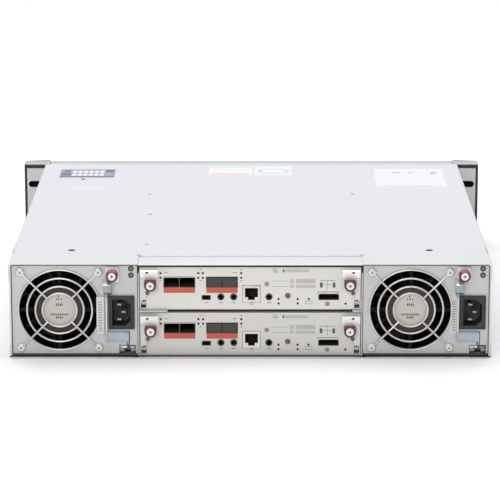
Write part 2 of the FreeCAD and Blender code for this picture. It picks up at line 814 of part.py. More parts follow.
def make_blank_master():
    """One moulded bay blank about X = 0: bevelled vented face, finger pull and an open sled."""
    half_face = (bay_pitch - dim.blank_gap) / 2
    half_sled = (bay_pitch - dim.guide_rib_width - dim.blank_gap) / 2
    clear = dim.seat_clearance
    face_front = cage_front + dim.blank_proud
    sled_rear = face_front - dim.blank_length
    face_z = (bay_floor + clear * 2, bay_roof - clear * 2)
    wall = dim.blank_wall
    face = profile_body("blank_face", "XZ_Plane", [rectangle((-half_face, half_face), face_z)],
                        dim.blank_face_depth, (0, face_front, 0))
    edge_x = float(half_face)

    def is_front_edge(a, b):
        return all(abs(p.y) + abs(abs(p.x) - edge_x) < 0.01 for p in (a, b))

    soften_edges(face, "Chamfer", dim.blank_edge, "blank_edges", is_front_edge)
    rear = sketch_on(face, "XZ_Plane", "blank_hollow", wall)
    draw_outline(rear, rectangle((wall - half_face, half_face - wall),
                                 (face_z[0] + wall, face_z[1] - wall)))
    hollow = face.newObject("PartDesign::Pocket", "blank_hollow_cut")
    hollow.Profile = rear
    hollow.Reversed = True
    bind(hollow, "Length", dim.blank_face_depth)
    vents = sketch_on(face, "XZ_Plane", "blank_vents")
    vent_low = face_z[0] + wall + dim.blank_slot_rise
    for step in (-1, 1):
        draw_outline(vents, rectangle(about(dim.blank_slot_pitch * (step / 2), dim.blank_slot_width),
                                      (vent_low, vent_low + dim.blank_slot_height)))
    slots = face.newObject("PartDesign::Pocket", "blank_vents_cut")
    slots.Profile = vents
    slots.Reversed = True
    bind(slots, "Length", wall + PAST)
    low = bay_floor + dim.guide_plate + clear
    high = bay_roof - dim.guide_plate - clear
    sled = (sled_rear, face_front - wall / 2)
    rails = [
        box("blank_rail_bottom", (-half_sled, half_sled), (sled_rear, face_front - wall),
            (low, low + dim.blank_rail)),
        box("blank_rail_top", (-half_sled, half_sled), (sled_rear, face_front - wall),
            (high - dim.blank_rail, high)),
        box("blank_rear_bar", (-half_sled, half_sled), (sled_rear, sled_rear + dim.blank_rail),
            (low, high)),
        box("blank_web_plate", about(zero, dim.blank_web), sled,
            (vent_low + dim.blank_slot_height + PAST, high)),
        box("blank_web_tail", about(zero, dim.blank_web),
            (sled_rear, face_front - dim.blank_face_depth), (low, high)),
    ]
    pull_top = face_z[1] - dim.pull_inset
    pull_low = pull_top - dim.pull_height
    tip = face_front + dim.pull_reach
    pull = profile_body(
        "blank_pull",
        "YZ_Plane",
        [[(face_front - wall / 2, pull_top), (face_front - wall / 2, pull_top - dim.pull_wall),
          (tip - dim.pull_wall, pull_top - dim.pull_wall * 2), (tip - dim.pull_wall, pull_low),
          (tip, pull_low), (tip, pull_top - dim.pull_wall)]],
        dim.pull_width,
        (-dim.pull_width / 2, 0, 0),
    )
    return join("blank_master", face, *rails, pull)


def make_drive_blanks():
    """The bay blanks, each a sub-part of its own that slides out to the front."""
    master = make_blank_master()
    for number in range(1, BAYS + 1):
        instance(master, f"drive_blank_{number:02d}", bay_pitch * (number - 0.5) - cage_inner)


# Places on a power supply, whose left side is at X = 0 until its copies are placed in their bays.
fan_z = module_bottom + psu_height / 2 + dim.fan_rise
fan_start = panel_face + dim.psu_sheet
fan_bore_radius = fan_size / 2 - dim.fan_rim
half_screw_pitch = fan_size / 2 - dim.fan_screw_inset
inlet_z = inlet_low + dim.inlet_flange_height / 2
psu_screw = (psu_width - dim.psu_screw_from_right, psu_screw_z)
web_x = psu_width - dim.web_from_right
tail_x = psu_width - dim.tail_from_right
barrel_x = psu_width - dim.barrel_from_right
psu_pivot_z = module_bottom + dim.pivot_height
inlet_body_height = dim.inlet_flange_height - dim.inlet_flange_border * 2
DIAGONALS = [(sx, sz) for sx in (-1, 1) for sz in (-1, 1)]

# The straight lengths in each ring of the wire guard, from the inner ring out, and in an eyelet,
# and the share of a length along a diagonal spoke that lies along X or Z.
RING_SIDES = (16, 20, 24, 28)
EYELET_SIDES = 8
DIAGONAL_SHARE = math.sqrt(0.5)


def make_psu_case():
    """A power supply's folded housing, its panel cut for fan, inlet, handle and screw."""
    sheet_side = dim.psu_sheet
    low, high = module_bottom, module_bottom + psu_height
    outer = box("psu_outer", (zero, psu_width), (panel_face, module_front), (low, high))
    inner = box("psu_inner", (sheet_side, psu_width - sheet_side),
                (fan_start, module_front - sheet_side), (low + sheet_side, high - sheet_side))
    start = panel_face - PAST
    deep = sheet_side + 2 * PAST
    through = (start, start + deep)
    tools = [inner, rod("psu_fan_hole", "Y", fan_bore_radius, (fan_x, start, fan_z), deep)]
    for number, (sx, sz) in enumerate(DIAGONALS):
        at = (fan_x + half_screw_pitch * sx, start, fan_z + half_screw_pitch * sz)
        tools.append(post(f"psu_fan_screw_hole_{number}", "Y", EYELET_SIDES,
                          dim.fan_screw_radius, at, deep))
    gap = dim.port_gap
    tools.append(box("psu_inlet_hole", about(inlet_x, inlet_body_width + gap * 2), through,
                     about(inlet_z, inlet_body_height + gap * 2)))
    tools.append(rod("psu_screw_hole", "Y", dim.screw_shank_radius + dim.screw_clearance,
                     (psu_screw[0], start, psu_screw[1]), deep))
    tools.append(box("psu_handle_hole",
                     (barrel_x - dim.pivot_lug_gap * 2,
                      barrel_x + dim.barrel_width + dim.pivot_lug_gap), through,
                     (low + sheet_side, psu_pivot_z + dim.barrel_radius)))
    tools.append(box("psu_tail_slot",
                     (tail_x - dim.tail_clearance, tail_x + dim.lever_sheet + dim.tail_clearance),
                     through, (psu_pivot_z, foot_z[1])))
    spread = psu_width / 4
    for number in (1, 2, 3):
        tools.append(box(f"psu_vent_{number}", about(spread * number, dim.psu_vent_width),
                         (module_front - sheet_side - PAST, module_front + PAST),
                         about(high - dim.psu_vent_height, dim.psu_vent_height)))
    shell = cut("psu_shell", outer, *tools)
    lug_x = barrel_x - dim.pivot_lug_gap - dim.pivot_lug
    pin = rod("psu_pivot_pin", "X", dim.pivot_pin_radius,
              (lug_x + dim.pivot_lug / 2, pivot_y, psu_pivot_z),
              psu_width - sheet_side / 2 - lug_x - dim.pivot_lug / 2)
    lug = box("psu_pivot_lug", (lug_x, lug_x + dim.pivot_lug),
              (panel_face + sheet_side / 2, pivot_y + dim.pivot_inset),
              (low + sheet_side / 2, psu_pivot_z + dim.barrel_radius))
    return join("psu_case_master", shell, pin, lug)


def make_fan_housing():
    """The fan's square frame: a round duct, four struts, and the cup and boss for the shaft."""
    y = (fan_start, fan_start + dim.fan_depth)
    block = box("fan_block", about(fan_x, fan_size), y, about(fan_z, fan_size))
    bore = rod("fan_bore", "Y", fan_bore_radius, (fan_x, y[0] - PAST, fan_z),
               dim.fan_depth + 2 * PAST)
    frame = cut("fan_frame", block, bore)
    strut_y = (y[0], y[0] + dim.fan_strut_depth)
    reach = fan_bore_radius + dim.fan_rim / 2
    struts = [box("fan_strut_up", about(fan_x, dim.fan_strut_width), strut_y,
                  about(fan_z, reach * 2)),
              box("fan_strut_across", about(fan_x, reach * 2), strut_y,
                  about(fan_z, dim.fan_strut_width))]
    cup = post("fan_cup", "Y", HUB_SIDES, dim.fan_cup_radius, (fan_x, y[0], fan_z),
               dim.fan_strut_depth)
    shaft_hole = dim.fan_shaft_radius + dim.running_clearance
    boss = post("fan_boss", "Y", SMALL_ROUND_SIDES, shaft_hole + dim.fan_boss_wall,
                (fan_x, y[0], fan_z), dim.fan_strut_depth + dim.fan_boss_depth)
    bearing = rod("fan_bearing", "Y", shaft_hole, (fan_x, y[0] + dim.fan_cup_wall, fan_z),
                  dim.fan_depth)
    return cut("fan_housing_master", join("fan_whole", frame, *struts, cup, boss), bearing)


def blade_section(body, name, reach, sweep, depth):
    """One end of a fan blade: a bowed strip across the duct, drawn at a radius."""
    section = sketch_on(body, "XZ_Plane", name, -reach)
    half = dim.blade_thickness / 2
    low, high = dim.blade_clearance, depth - dim.blade_clearance
    middle = (low + high) / 2
    faces = ((-half, 0), (half, 1))
    ends = [Vector(float(side - sweep / 2), float(low), 0) for side, _ in faces]
    tops = [Vector(float(sweep / 2 + side), float(high), 0) for side, _ in faces]
    bows = [Vector(float(dim.blade_bow + side), float(middle), 0) for side, _ in faces]
    for end, bow, top in zip(ends, bows, tops):
        section.addGeometry(Part.Arc(end, bow, top), False)
    section.addGeometry(Part.LineSegment(ends[0], ends[1]), False)
    section.addGeometry(Part.LineSegment(tops[0], tops[1]), False)
    return section


def make_fan_rotor():
    """The impeller: a hub cup on a shaft, and slanted, bowed blades trimmed to the duct."""
    gap = dim.blade_clearance
    start = fan_start + dim.fan_strut_depth + gap
    depth = dim.rotor_depth
    hub_radius = dim.fan_cup_radius - gap
    wall = dim.fan_cup_wall
    body = doc.addObject("PartDesign::Body", "rotor_impeller")
    hub = sketch_on(body, "XY_Plane", "rotor_hub")
    draw_outline(hub, flat_sided(hub_radius, HUB_SIDES))
    pad(body, hub, depth, "rotor_hub_pad")
    cup = sketch_on(body, "XY_Plane", "rotor_cup")
    draw_outline(cup, flat_sided(hub_radius - wall, HUB_SIDES))
    hollow = body.newObject("PartDesign::Pocket", "rotor_cup_cut")
    hollow.Profile = cup
    bind(hollow, "Length", depth - wall * 2)
    hollow.Reversed = True
    blade = body.newObject("PartDesign::AdditiveLoft", "rotor_blade")
    blade.Profile = blade_section(body, "rotor_blade_root", hub_radius - wall,
                                  dim.blade_sweep, depth)
    blade.Sections = [blade_section(body, "rotor_blade_tip", fan_bore_radius + gap,
                                    dim.blade_sweep, depth)]
    blades = body.newObject("PartDesign::PolarPattern", "rotor_blades")
    blades.Originals = [blade]
    blades.Axis = (origin_plane(body, "Z_Axis"), [""])
    blades.Angle = 360
    blades.Occurrences = int(round(float(dim.blade_count)))
    body.Tip = blades
    place(body, fan_x, start, fan_z, ALONG["Y"])
    trim = rod("rotor_trim", "Y", fan_bore_radius - gap, (fan_x, start - PAST, fan_z),
               depth + 2 * PAST)
    trimmed = doc.addObject("Part::Common", "rotor_trimmed")
    trimmed.Base = body
    trimmed.Tool = trim
    shaft_start = fan_start + dim.fan_cup_wall + dim.seat_clearance
    shaft = rod("rotor_shaft", "Y", dim.fan_shaft_radius, (fan_x, shaft_start, fan_z),
                start + depth - shaft_start)
    return join("rotor_master", trimmed, shaft)


def make_finger_guard():
    """The wire guard over the fan: four rings under crossed spokes with eyelets at their ends."""
    wire = dim.wire_radius
    ring_y = panel_face - wire
    spoke_y = panel_face - wire * 4 + dim.weld_depth
    outer = fan_bore_radius + wire
    step = (outer - dim.ring_inner_radius) / (len(RING_SIDES) - 1)
    pieces = [wire_ring(f"guard_ring_{number}", sides, dim.ring_inner_radius + step * number,
                        wire, (fan_x, ring_y, fan_z)) for number, sides in enumerate(RING_SIDES)]
    start = dim.ring_inner_radius
    reach = half_screw_pitch / DIAGONAL_SHARE - dim.eyelet_radius
    for number, (sx, sz) in enumerate(DIAGONALS):
        spoke = doc.addObject("Part::Box", f"guard_spoke_{number}")
        bind(spoke, "Length", reach - start)
        bind(spoke, "Width", wire * 2)
        bind(spoke, "Height", wire * 2)
        turn = Rotation(Vector(0, 1, 0), -math.degrees(math.atan2(sz, sx)))
        place(spoke, fan_x + (start * sx + wire * sz) * DIAGONAL_SHARE, spoke_y,
              fan_z + (start * sz - wire * sx) * DIAGONAL_SHARE, turn)
        pieces.append(spoke)
        eyelet_at = (fan_x + half_screw_pitch * sx, ring_y, fan_z + half_screw_pitch * sz)
        pieces.append(wire_ring(f"guard_eyelet_{number}", EYELET_SIDES, dim.eyelet_radius, wire,
                                eyelet_at))
    return join("guard_master", *pieces)


def make_inlet():
    """The mains inlet: a flanged block with a chamfered socket and three flat pins."""
    front = panel_face - dim.inlet_flange_sheet
    flange = box("inlet_flange", about(inlet_x, dim.inlet_flange_width), (front, panel_face),
                 about(inlet_z, dim.inlet_flange_height))
    block = box("inlet_block", about(inlet_x, inlet_body_width),
                (panel_face, panel_face + dim.inlet_body_depth),
                about(inlet_z, inlet_body_height))
    half_w, half_h = dim.inlet_mouth_width / 2, dim.inlet_mouth_height / 2
    chamfer = dim.inlet_chamfer
    floor = front + dim.inlet_mouth_depth
    mouth = profile_body(
        "inlet_mouth",
        "XZ_Plane",
        [[(-half_w, -half_h), (half_w - chamfer, -half_h), (half_w, chamfer - half_h),
          (half_w, half_h - chamfer), (half_w - chamfer, half_h), (-half_w, half_h)]],
        dim.inlet_mouth_depth + PAST,
        (inlet_x, floor, inlet_z),
    )
    socket = cut("inlet_socket", join("inlet_whole", flange, block), mouth)
    offset, pitch = dim.earth_pin_offset / 2, dim.pin_pitch / 2
    pins = [box(f"inlet_pin_{key}", about(inlet_x + dx, dim.pin_width),
                (floor - dim.pin_length, floor), about(inlet_z + dz, dim.pin_sheet))
            for key, dx, dz in (("line", -offset, pitch), ("neutral", -offset, -pitch),
                                ("earth", offset, zero))]
    return group("inlet_master", socket, *pins)


def make_psu_handle():
    """The ejector handle: screw tab, bent finger grip, upright web, foot plate and pivoted tail."""
    back, front = lever_back, lever_front
    thick = dim.lever_sheet
    tab = box("handle_tab", (web_x, psu_screw[0] + dim.psu_tab_half_width), (front, back),
              about(psu_screw[1], dim.psu_tab_half_height * 2))
    slope, out = dim.grip_slope, front - dim.grip_reach
    grip = profile_body(
        "handle_grip",
        "YZ_Plane",
        [[(back, grip_top), (front, grip_top), (out, grip_top - slope), (out, grip_low + slope),
          (front, grip_low), (back, grip_low), (back, grip_low + thick),
          (out + thick, grip_low + slope + thick / 2), (out + thick, grip_top - slope - thick / 2),
          (back, grip_top - thick)]],
        dim.grip_width,
        (web_x - dim.grip_lead, 0, 0),
    )
    web = box("handle_web", (web_x, web_x + thick), (front - dim.web_reach, back),
              (foot_z[0], grip_low + thick))
    plate = box("handle_plate", (web_x, tail_x + thick), (front, back), foot_z)
    arm = dim.barrel_radius * ARM_SHARE
    tail = profile_body(
        "handle_tail",
        "YZ_Plane",
        [[(front, foot_z[1]), (front, foot_z[0] - thick), (pivot_y - arm, psu_pivot_z - arm / 2),
          (pivot_y + arm, psu_pivot_z), (pivot_y + arm / 2, psu_pivot_z + arm),
          (back, foot_z[0] + arm), (back, foot_z[1])]],
        thick,
        (tail_x, 0, 0),
    )
    barrel = post("handle_barrel", "X", BARREL_SIDES, dim.barrel_radius,
                  (barrel_x, pivot_y, psu_pivot_z), dim.barrel_width)
    toes = [box(f"handle_toe_{number}", (start, start + dim.toe_width),
                (panel_face + dim.seat_clearance, pivot_y),
                (psu_pivot_z - dim.toe_drop, psu_pivot_z))
            for number, start in enumerate((barrel_x,
                                            barrel_x + dim.barrel_width - dim.toe_width))]
    bore = rod("handle_bore", "X", dim.pivot_pin_radius + dim.running_clearance,
               (barrel_x - PAST, pivot_y, psu_pivot_z), dim.barrel_width + 2 * PAST)
    hole = rod("handle_screw_hole", "Y", dim.screw_shank_radius + dim.screw_clearance,
               (psu_screw[0], front - PAST, psu_screw[1]), thick + 2 * PAST)
    whole = join("handle_whole", tab, grip, web, plate, tail, barrel, *toes)
    return cut("handle_master", whole, bore, hole)


def make_screw_master():
    """A captive screw along Y: a head with flats to grip, a collar, and a shank through a tab."""
    collar_front = lever_front - dim.screw_collar_length
    collar_back = lever_front - dim.running_clearance
    head = post("screw_head", "Y", HEAD_SIDES, dim.screw_head_radius,
                (zero, collar_front - dim.screw_head_length, zero), dim.screw_head_length)
    collar = post("screw_collar", "Y", SMALL_ROUND_SIDES, dim.screw_collar_radius,
                  (zero, collar_front, zero), collar_back - collar_front)
    shank = rod("screw_shank", "Y", dim.screw_shank_radius, (zero, collar_back, zero),
                lever_front + dim.screw_shank_length - collar_back)
    return join("screw_master", head, collar, shank)


def make_power_supplies(screw):
    """Both power supplies: one set of masters, placed in the left and the right bay."""
    masters = (("case", make_psu_case()), ("fan_housing", make_fan_housing()),
               ("fan_rotor", make_fan_rotor()), ("finger_guard", make_finger_guard()),
               ("inlet", make_inlet()), ("handle", make_psu_handle()))
    for side, sign in SIDES:
        left = (divider_outer + wall_inner) * (sign / 2) - psu_width / 2
        for key, master in masters:
            instance(master, f"psu_{side}_{key}", left)
        instance(screw, f"psu_{side}_thumbscrew", left + psu_screw[0], 0, psu_screw[1])


# Places on a controller, at the lower level until its upper copy is placed.
ctl_half = controller_width / 2
ctl_top = module_bottom + controller_height
ctl_pivot_z = module_bottom + dim.latch_pivot_height
ctl_screw_x = ctl_half - dim.latch_screw_from_edge
ctl_screw_z = module_bottom + dim.latch_screw_height
latch_near = ctl_half - dim.controller_sheet - dim.seat_clearance
latch_far = latch_near - dim.latch_barrel_width
port_front = panel_face - dim.port_proud
board_z = (module_bottom + dim.logic_board_height,
           module_bottom + dim.logic_board_height + dim.logic_board_sheet)
board_y = (panel_face + dim.controller_sheet + dim.logic_board_setback,
           module_front - dim.controller_sheet - dim.logic_board_setback)
board_half = ctl_half - dim.logic_board_side
sfp_places = (("left", dim.sfp_left_from_left - ctl_half),
              ("right", dim.sfp_right_from_left - ctl_half))
jack_places = (dim.jack_far_from_left - ctl_half, dim.jack_near_from_left - ctl_half,
               dim.jack_right_from_centre)
sas_x = ctl_half - dim.sas_from_right
usb_x = dim.usb_from_left - ctl_half
button_at = (dim.button_from_centre, module_bottom + dim.button_height)
button_face = panel_face - dim.button_proud


def make_controller_case():
    """A controller's housing, its panel cut for ports, latches, screws and button."""
    sheet_side = dim.controller_sheet
    low = module_bottom
    outer = box("ctl_outer", (-ctl_half, ctl_half), (panel_face, module_front), (low, ctl_top))
    inner = box("ctl_inner", (sheet_side - ctl_half, ctl_half - sheet_side),
                (panel_face + sheet_side, module_front - sheet_side),
                (low + sheet_side, ctl_top - sheet_side))
    start = panel_face - PAST
    deep = sheet_side + 2 * PAST
    gap = dim.port_gap
    tools = [inner]
    windows = [(f"sfp_{key}", x, dim.sfp_height, dim.sfp_width, dim.sfp_tall)
               for key, x in sfp_places]
    windows += [("rj", dim.rj_from_centre, dim.rj_height, dim.rj_size, dim.rj_size),
                ("sas", sas_x, dim.sas_height, dim.sas_width, dim.sas_tall),
                ("usb", usb_x, dim.usb_height, dim.usb_width, dim.usb_tall)]
    for key, x, rise, width, tall in windows:
        tools.append(box(f"ctl_{key}_window", about(x, width + gap * 2), (start, start + deep),
                         about(low + rise, tall + gap * 2)))
    for number, x in enumerate(jack_places):
        tools.append(post(f"ctl_jack_window_{number}", "Y", SMALL_ROUND_SIDES, dim.jack_radius + gap,
                          (x, start, low + dim.jack_height), deep))
    tools.append(post("ctl_button_window", "Y", SMALL_ROUND_SIDES, dim.button_radius + gap,
                      (button_at[0], start, button_at[1]), deep))
    added = []
    lug_near = latch_far - dim.pivot_lug_gap
    for side, sign in SIDES:
        tools.append(post(f"ctl_screw_window_{side}", "Y", SMALL_ROUND_SIDES,
                          dim.screw_shank_radius + dim.screw_swing_clearance,
                          (ctl_screw_x * sign, start, ctl_screw_z), deep))
        tools.append(box(f"ctl_latch_window_{side}",
                         on_side(sign, latch_far - dim.pivot_lug_gap, ctl_half - sheet_side),
                         (start, start + deep),
                         (low + sheet_side, low + dim.latch_plate_bottom + dim.pivot_inset)))
        added.append(box(f"ctl_lug_{side}", on_side(sign, lug_near - dim.pivot_lug, lug_near),
                         (panel_face + sheet_side / 2, pivot_y + dim.pivot_inset),
                         (low + sheet_side / 2, ctl_pivot_z + dim.latch_barrel_radius)))
        pin_x = on_side(sign, lug_near - dim.pivot_lug / 2, ctl_half - sheet_side / 2)
        added.append(rod(f"ctl_pin_{side}", "X", dim.pivot_pin_radius,
                         (pin_x[0], pivot_y, ctl_pivot_z), pin_x[1] - pin_x[0]))
    return join("ctl_case_master", cut("ctl_shell", outer, *tools), *added)


def port_block(key, x, rise, width, tall, depth):
    """A connector's body, just proud of the panel."""
    return box(f"ctl_{key}_block", about(x, width), (port_front, port_front + depth),
               about(module_bottom + rise, tall))


def port_foot(key, x, rise, width, depth):
    """The part of a connector behind the panel that stands on the logic board."""
    rear = port_front + depth
    return box(f"ctl_{key}_foot", about(x, width),
               (panel_face + dim.controller_sheet + dim.port_gap, rear),
               (board_z[1], module_bottom + rise))


def make_sfp_cage(key, x):
    """A cage of two small form-factor slots, with dust plugs in the right-hand pair."""
    wall = dim.sfp_wall
    block = port_block(f"sfp_{key}", x, dim.sfp_height, dim.sfp_width, dim.sfp_tall, dim.sfp_depth)
    slot_w = (dim.sfp_width - wall * 3) / 2
    z = about(module_bottom + dim.sfp_height, dim.sfp_tall - wall * 2)
    mouths, plugs = [], []
    for number, sign in enumerate((-1, 1)):
        middle = x + (slot_w + wall) * (sign / 2)
        mouths.append(box(f"ctl_sfp_{key}_mouth_{number}", about(middle, slot_w),
                          (port_front - PAST, port_front + dim.sfp_depth - wall), z))
        if key == "right":
            slack = dim.sfp_plug_slack
            plugs.append(box(f"ctl_sfp_plug_{number}", about(middle, slot_w - slack * 2),
                             (port_front - dim.sfp_plug_proud, port_front + dim.sfp_plug_depth),
                             (z[0] + slack, z[1] - slack)))
    return [cut(f"ctl_sfp_{key}", block, *mouths)] + plugs


def make_rj45():
    """The network jack, with its keyed mouth."""
    x, z = dim.rj_from_centre, module_bottom + dim.rj_height
    block = port_block("rj", x, dim.rj_height, dim.rj_size, dim.rj_size, dim.rj_depth)
    half_mouth, half_key = dim.rj_mouth_width / 2, dim.rj_key_width / 2
    low = z - (dim.rj_mouth_tall - dim.rj_key_tall) / 2
    high = low + dim.rj_mouth_tall
    key_low = low - dim.rj_key_tall
    mouth = profile_body(
        "ctl_rj_mouth",
        "XZ_Plane",
        [[(-half_mouth, low), (-half_key, low), (-half_key, key_low), (half_key, key_low),
          (half_key, low), (half_mouth, low), (half_mouth, high), (-half_mouth, high)]],
        dim.rj_mouth_depth + PAST,
        (x, port_front + dim.rj_mouth_depth, 0),
    )
    return cut("ctl_rj", block, mouth)


def make_sas():
    """The expansion port: a shell with one wide slot, standing on the board."""
    block = port_block("sas", sas_x, dim.sas_height, dim.sas_width, dim.sas_tall, dim.sas_depth)
    foot = port_foot("sas", sas_x, dim.sas_height, dim.sas_width, dim.sas_depth)
    low = module_bottom + dim.sas_height - dim.sas_tall / 2 + dim.sas_wall
    slot = box("ctl_sas_slot", about(sas_x, dim.sas_width - dim.sas_wall * 2),
               (port_front - PAST, port_front + dim.sas_mouth_depth),
               (low, low + dim.sas_mouth_tall))
    return cut("ctl_sas", join("ctl_sas_body", block, foot), slot)


def make_usb():
    """The small service port, its mouth narrower at the bottom."""
    z = module_bottom + dim.usb_height
    block = port_block("usb", usb_x, dim.usb_height, dim.usb_width, dim.usb_tall, dim.usb_depth)
    foot = port_foot("usb", usb_x, dim.usb_height, dim.usb_width, dim.usb_depth)
    half_w, half_t = dim.usb_width / 2 - dim.usb_wall, dim.usb_tall / 2 - dim.usb_wall
    mouth = profile_body(
        "ctl_usb_mouth",
        "XZ_Plane",
        [[(-half_w, half_t), (-half_w, zero), (half_t - half_w, -half_t),
          (half_w - half_t, -half_t), (half_w, zero), (half_w, half_t)]],
        dim.usb_mouth_depth + PAST,
        (usb_x, port_front + dim.usb_mouth_depth, z),
    )
    return cut("ctl_usb", join("ctl_usb_body", block, foot), mouth)


def make_jack(number, x):
    """A round service jack on its block."""
    z = module_bottom + dim.jack_height
    barrel = post(f"ctl_jack_barrel_{number}", "Y", SMALL_ROUND_SIDES, dim.jack_radius,
                  (x, port_front, z), dim.jack_depth)
    foot = port_foot(f"jack_{number}", x, dim.jack_height + dim.jack_radius, dim.jack_radius * 2,
                     dim.jack_depth)
    bore = post(f"ctl_jack_bore_{number}", "Y", SMALL_ROUND_SIDES, dim.jack_bore_radius,
                (x, port_front - PAST, z), dim.jack_bore_depth + PAST)
    return cut(f"ctl_jack_{number}", join(f"ctl_jack_body_{number}", barrel, foot), bore)


def make_logic_board():
    """The board on its standoffs, and the riser that lifts the two cages above it."""
    pieces = [box("ctl_board_plate", (-board_half, board_half), board_y, board_z)]
    floor = module_bottom + dim.controller_sheet
    inset = dim.standoff_inset
    for nx, x in enumerate((inset - board_half, board_half - inset)):
        for ny, y in enumerate((board_y[0] + inset, board_y[1] - inset)):
            pieces.append(post(f"ctl_standoff_{nx}{ny}", "Z", STANDOFF_SIDES,
                               dim.standoff_radius, (x, y, floor), board_z[0] - floor))
    riser_top = module_bottom + dim.sfp_height - dim.sfp_tall / 2
    riser_x = (sfp_places[0][1] - dim.sfp_width / 2, sfp_places[1][1] + dim.sfp_width / 2)
    riser_y = (board_y[0], board_y[0] + dim.riser_depth)
    riser = [box("ctl_riser_plate", riser_x, riser_y,
                 (riser_top - dim.logic_board_sheet, riser_top))]
    for nx, x in enumerate((riser_x[0] + inset, riser_x[1] - inset)):
        riser.append(post(f"ctl_riser_post_{nx}", "Z", STANDOFF_SIDES, dim.standoff_radius,
                          (x, riser_y[1] - inset, board_z[1]),
                          riser_top - board_z[1] - dim.logic_board_sheet / 2))
    return [join("ctl_board", *pieces), join("ctl_riser", *riser)]


def make_controller_board():
    """The logic board with every connector, each a solid of its own, and the button's switch."""
    solids = make_logic_board()
    for key, x in sfp_places:
        solids += make_sfp_cage(key, x)
    solids += [make_rj45(), make_sas(), make_usb()]
    solids += [make_jack(number, x) for number, x in enumerate(jack_places)]
    rear = button_face + dim.button_length + dim.button_travel + dim.seat_clearance
    solids.append(box("ctl_switch", about(button_at[0], dim.switch_body_size),
                      (rear, rear + dim.switch_body_depth),
                      (board_z[1], button_at[1] + dim.switch_body_size / 2)))
    return group("ctl_board_master", *solids)


def make_latch(side, sign):
    """An ejector latch: a stem that widens round its screw, a bent finger tab and a pivoted ear."""
    thick = dim.lever_sheet
    back, front = lever_back, lever_front
    edge = ctl_half - dim.latch_from_edge
    inner = edge - dim.latch_width
    stem = edge - dim.latch_stem_width
    bottom = module_bottom + dim.latch_plate_bottom
    shoulder = ctl_screw_z - dim.latch_shoulder
    top = ctl_top - dim.latch_from_top
    bend = top - dim.latch_tab_rise
    outline = [(edge, bottom), (edge, bend), (inner, bend), (inner, shoulder),
               (stem, shoulder - dim.latch_shoulder_slope), (stem, bottom)]
    plate = profile_body(f"latch_{side}_plate", "XZ_Plane",
                         [[(x if sign > 0 else -x, z) for x, z in outline]], thick,
                         (0, back, 0))
    out = dim.latch_tab_reach
    span = on_side(sign, inner, edge)
    tab = profile_body(
        f"latch_{side}_tab",
        "YZ_Plane",
        [[(back, bend - thick), (back, bend), (back - out, top), (front - out, top - thick / 2),
          (front, bend - thick / 2), (front, bend - thick)]],
        dim.latch_width,
        (span[0], 0, 0),
    )
    arm = dim.latch_barrel_radius * ARM_SHARE
    ear_x = on_side(sign, latch_near - thick, latch_near)
    ear = profile_body(
        f"latch_{side}_ear",
        "YZ_Plane",
        [[(front, bottom + dim.latch_stem_width), (front, bottom),
          (pivot_y - arm, ctl_pivot_z - arm / 2), (pivot_y + arm, ctl_pivot_z),
          (pivot_y + arm / 2, ctl_pivot_z + arm), (back, bottom + arm),
          (back, bottom + dim.latch_stem_width)]],
        thick,
        (ear_x[0], 0, 0),
    )
    barrel_span = on_side(sign, latch_far, latch_near)
    barrel = post(f"latch_{side}_barrel", "X", BARREL_SIDES, dim.latch_barrel_radius,
                  (barrel_span[0], pivot_y, ctl_pivot_z), dim.latch_barrel_width)
    bore = rod(f"latch_{side}_bore", "X", dim.pivot_pin_radius + dim.running_clearance,
               (barrel_span[0] - PAST, pivot_y, ctl_pivot_z),
               dim.latch_barrel_width + 2 * PAST)
    hole = rod(f"latch_{side}_hole", "Y", dim.screw_shank_radius + dim.screw_clearance,
               (ctl_screw_x * sign, front - PAST, ctl_screw_z), thick + 2 * PAST)
    whole = join(f"latch_{side}_whole", plate, tab, ear, barrel)
    return cut(f"latch_{side}_master", whole, bore, hole)


def make_button():
    """The small push button, with a square flange that keeps it behind the panel."""
    x, z = button_at
    cap = post("ctl_button_cap", "Y", SMALL_ROUND_SIDES, dim.button_radius, (x, button_face, z),
               dim.button_length)
    flange_width = (dim.button_radius + dim.button_flange) * 2
    flange_front = panel_face + dim.controller_sheet + dim.running_clearance
    flange = box("ctl_button_flange", about(x, flange_width),
                 (flange_front, flange_front + dim.controller_sheet), about(z, flange_width))
    return join("ctl_button_master", cap, flange)


def make_controllers(screw):
    """Both controllers: one set of masters, placed at the lower and the upper level."""
    masters = [("case", make_controller_case()), ("board", make_controller_board()),
               ("button", make_button())]
    masters += [(f"latch_{side}", make_latch(side, sign)) for side, sign in SIDES]
    for level, rise in (("lower", zero), ("upper", level_pitch)):
        for key, master in masters:
            instance(master, f"controller_{level}_{key}", 0, 0, rise)
        for side, sign in SIDES:
            instance(screw, f"controller_{level}_thumbscrew_{side}", ctl_screw_x * sign, 0,
                     ctl_screw_z + rise)


def check_and_export():
    """Recomputes the document, stops on anything that failed, and writes each sub-part's file."""
    doc.recompute()
    failed = [o.Name for o in doc.Objects if "Invalid" in o.State or "Error" in o.State]
    if failed:
        raise RuntimeError(f"these objects failed: {failed}")
    shapes = {thing.Label: Part.getShape(thing) for thing in subparts}
    for label, shape in shapes.items():
        if shape.isNull() or not shape.isValid():
            raise RuntimeError(f"{label} has no valid shape")
    os.makedirs("parts", exist_ok=True)
    for label, shape in shapes.items():
        shape.exportStep(f"parts/{label}.step")
        volume = sum(solid.Volume for solid in shape.Solids)
        print(f"{label}: {len(shape.Solids)} solids, {volume:.0f} mm3")
    print(f"{len(shapes)} sub-parts")


make_chassis_tray()
make_top_cover()
for side_name, side_sign in SIDES:
    make_ear_cap(side_name, side_sign)
make_drive_cage()
make_drive_guides()
make_midplane()
make_bay_frame()
make_drive_blanks()
captive_screw = make_screw_master()
make_power_supplies(captive_screw)
make_controllers(captive_screw)
check_and_export()
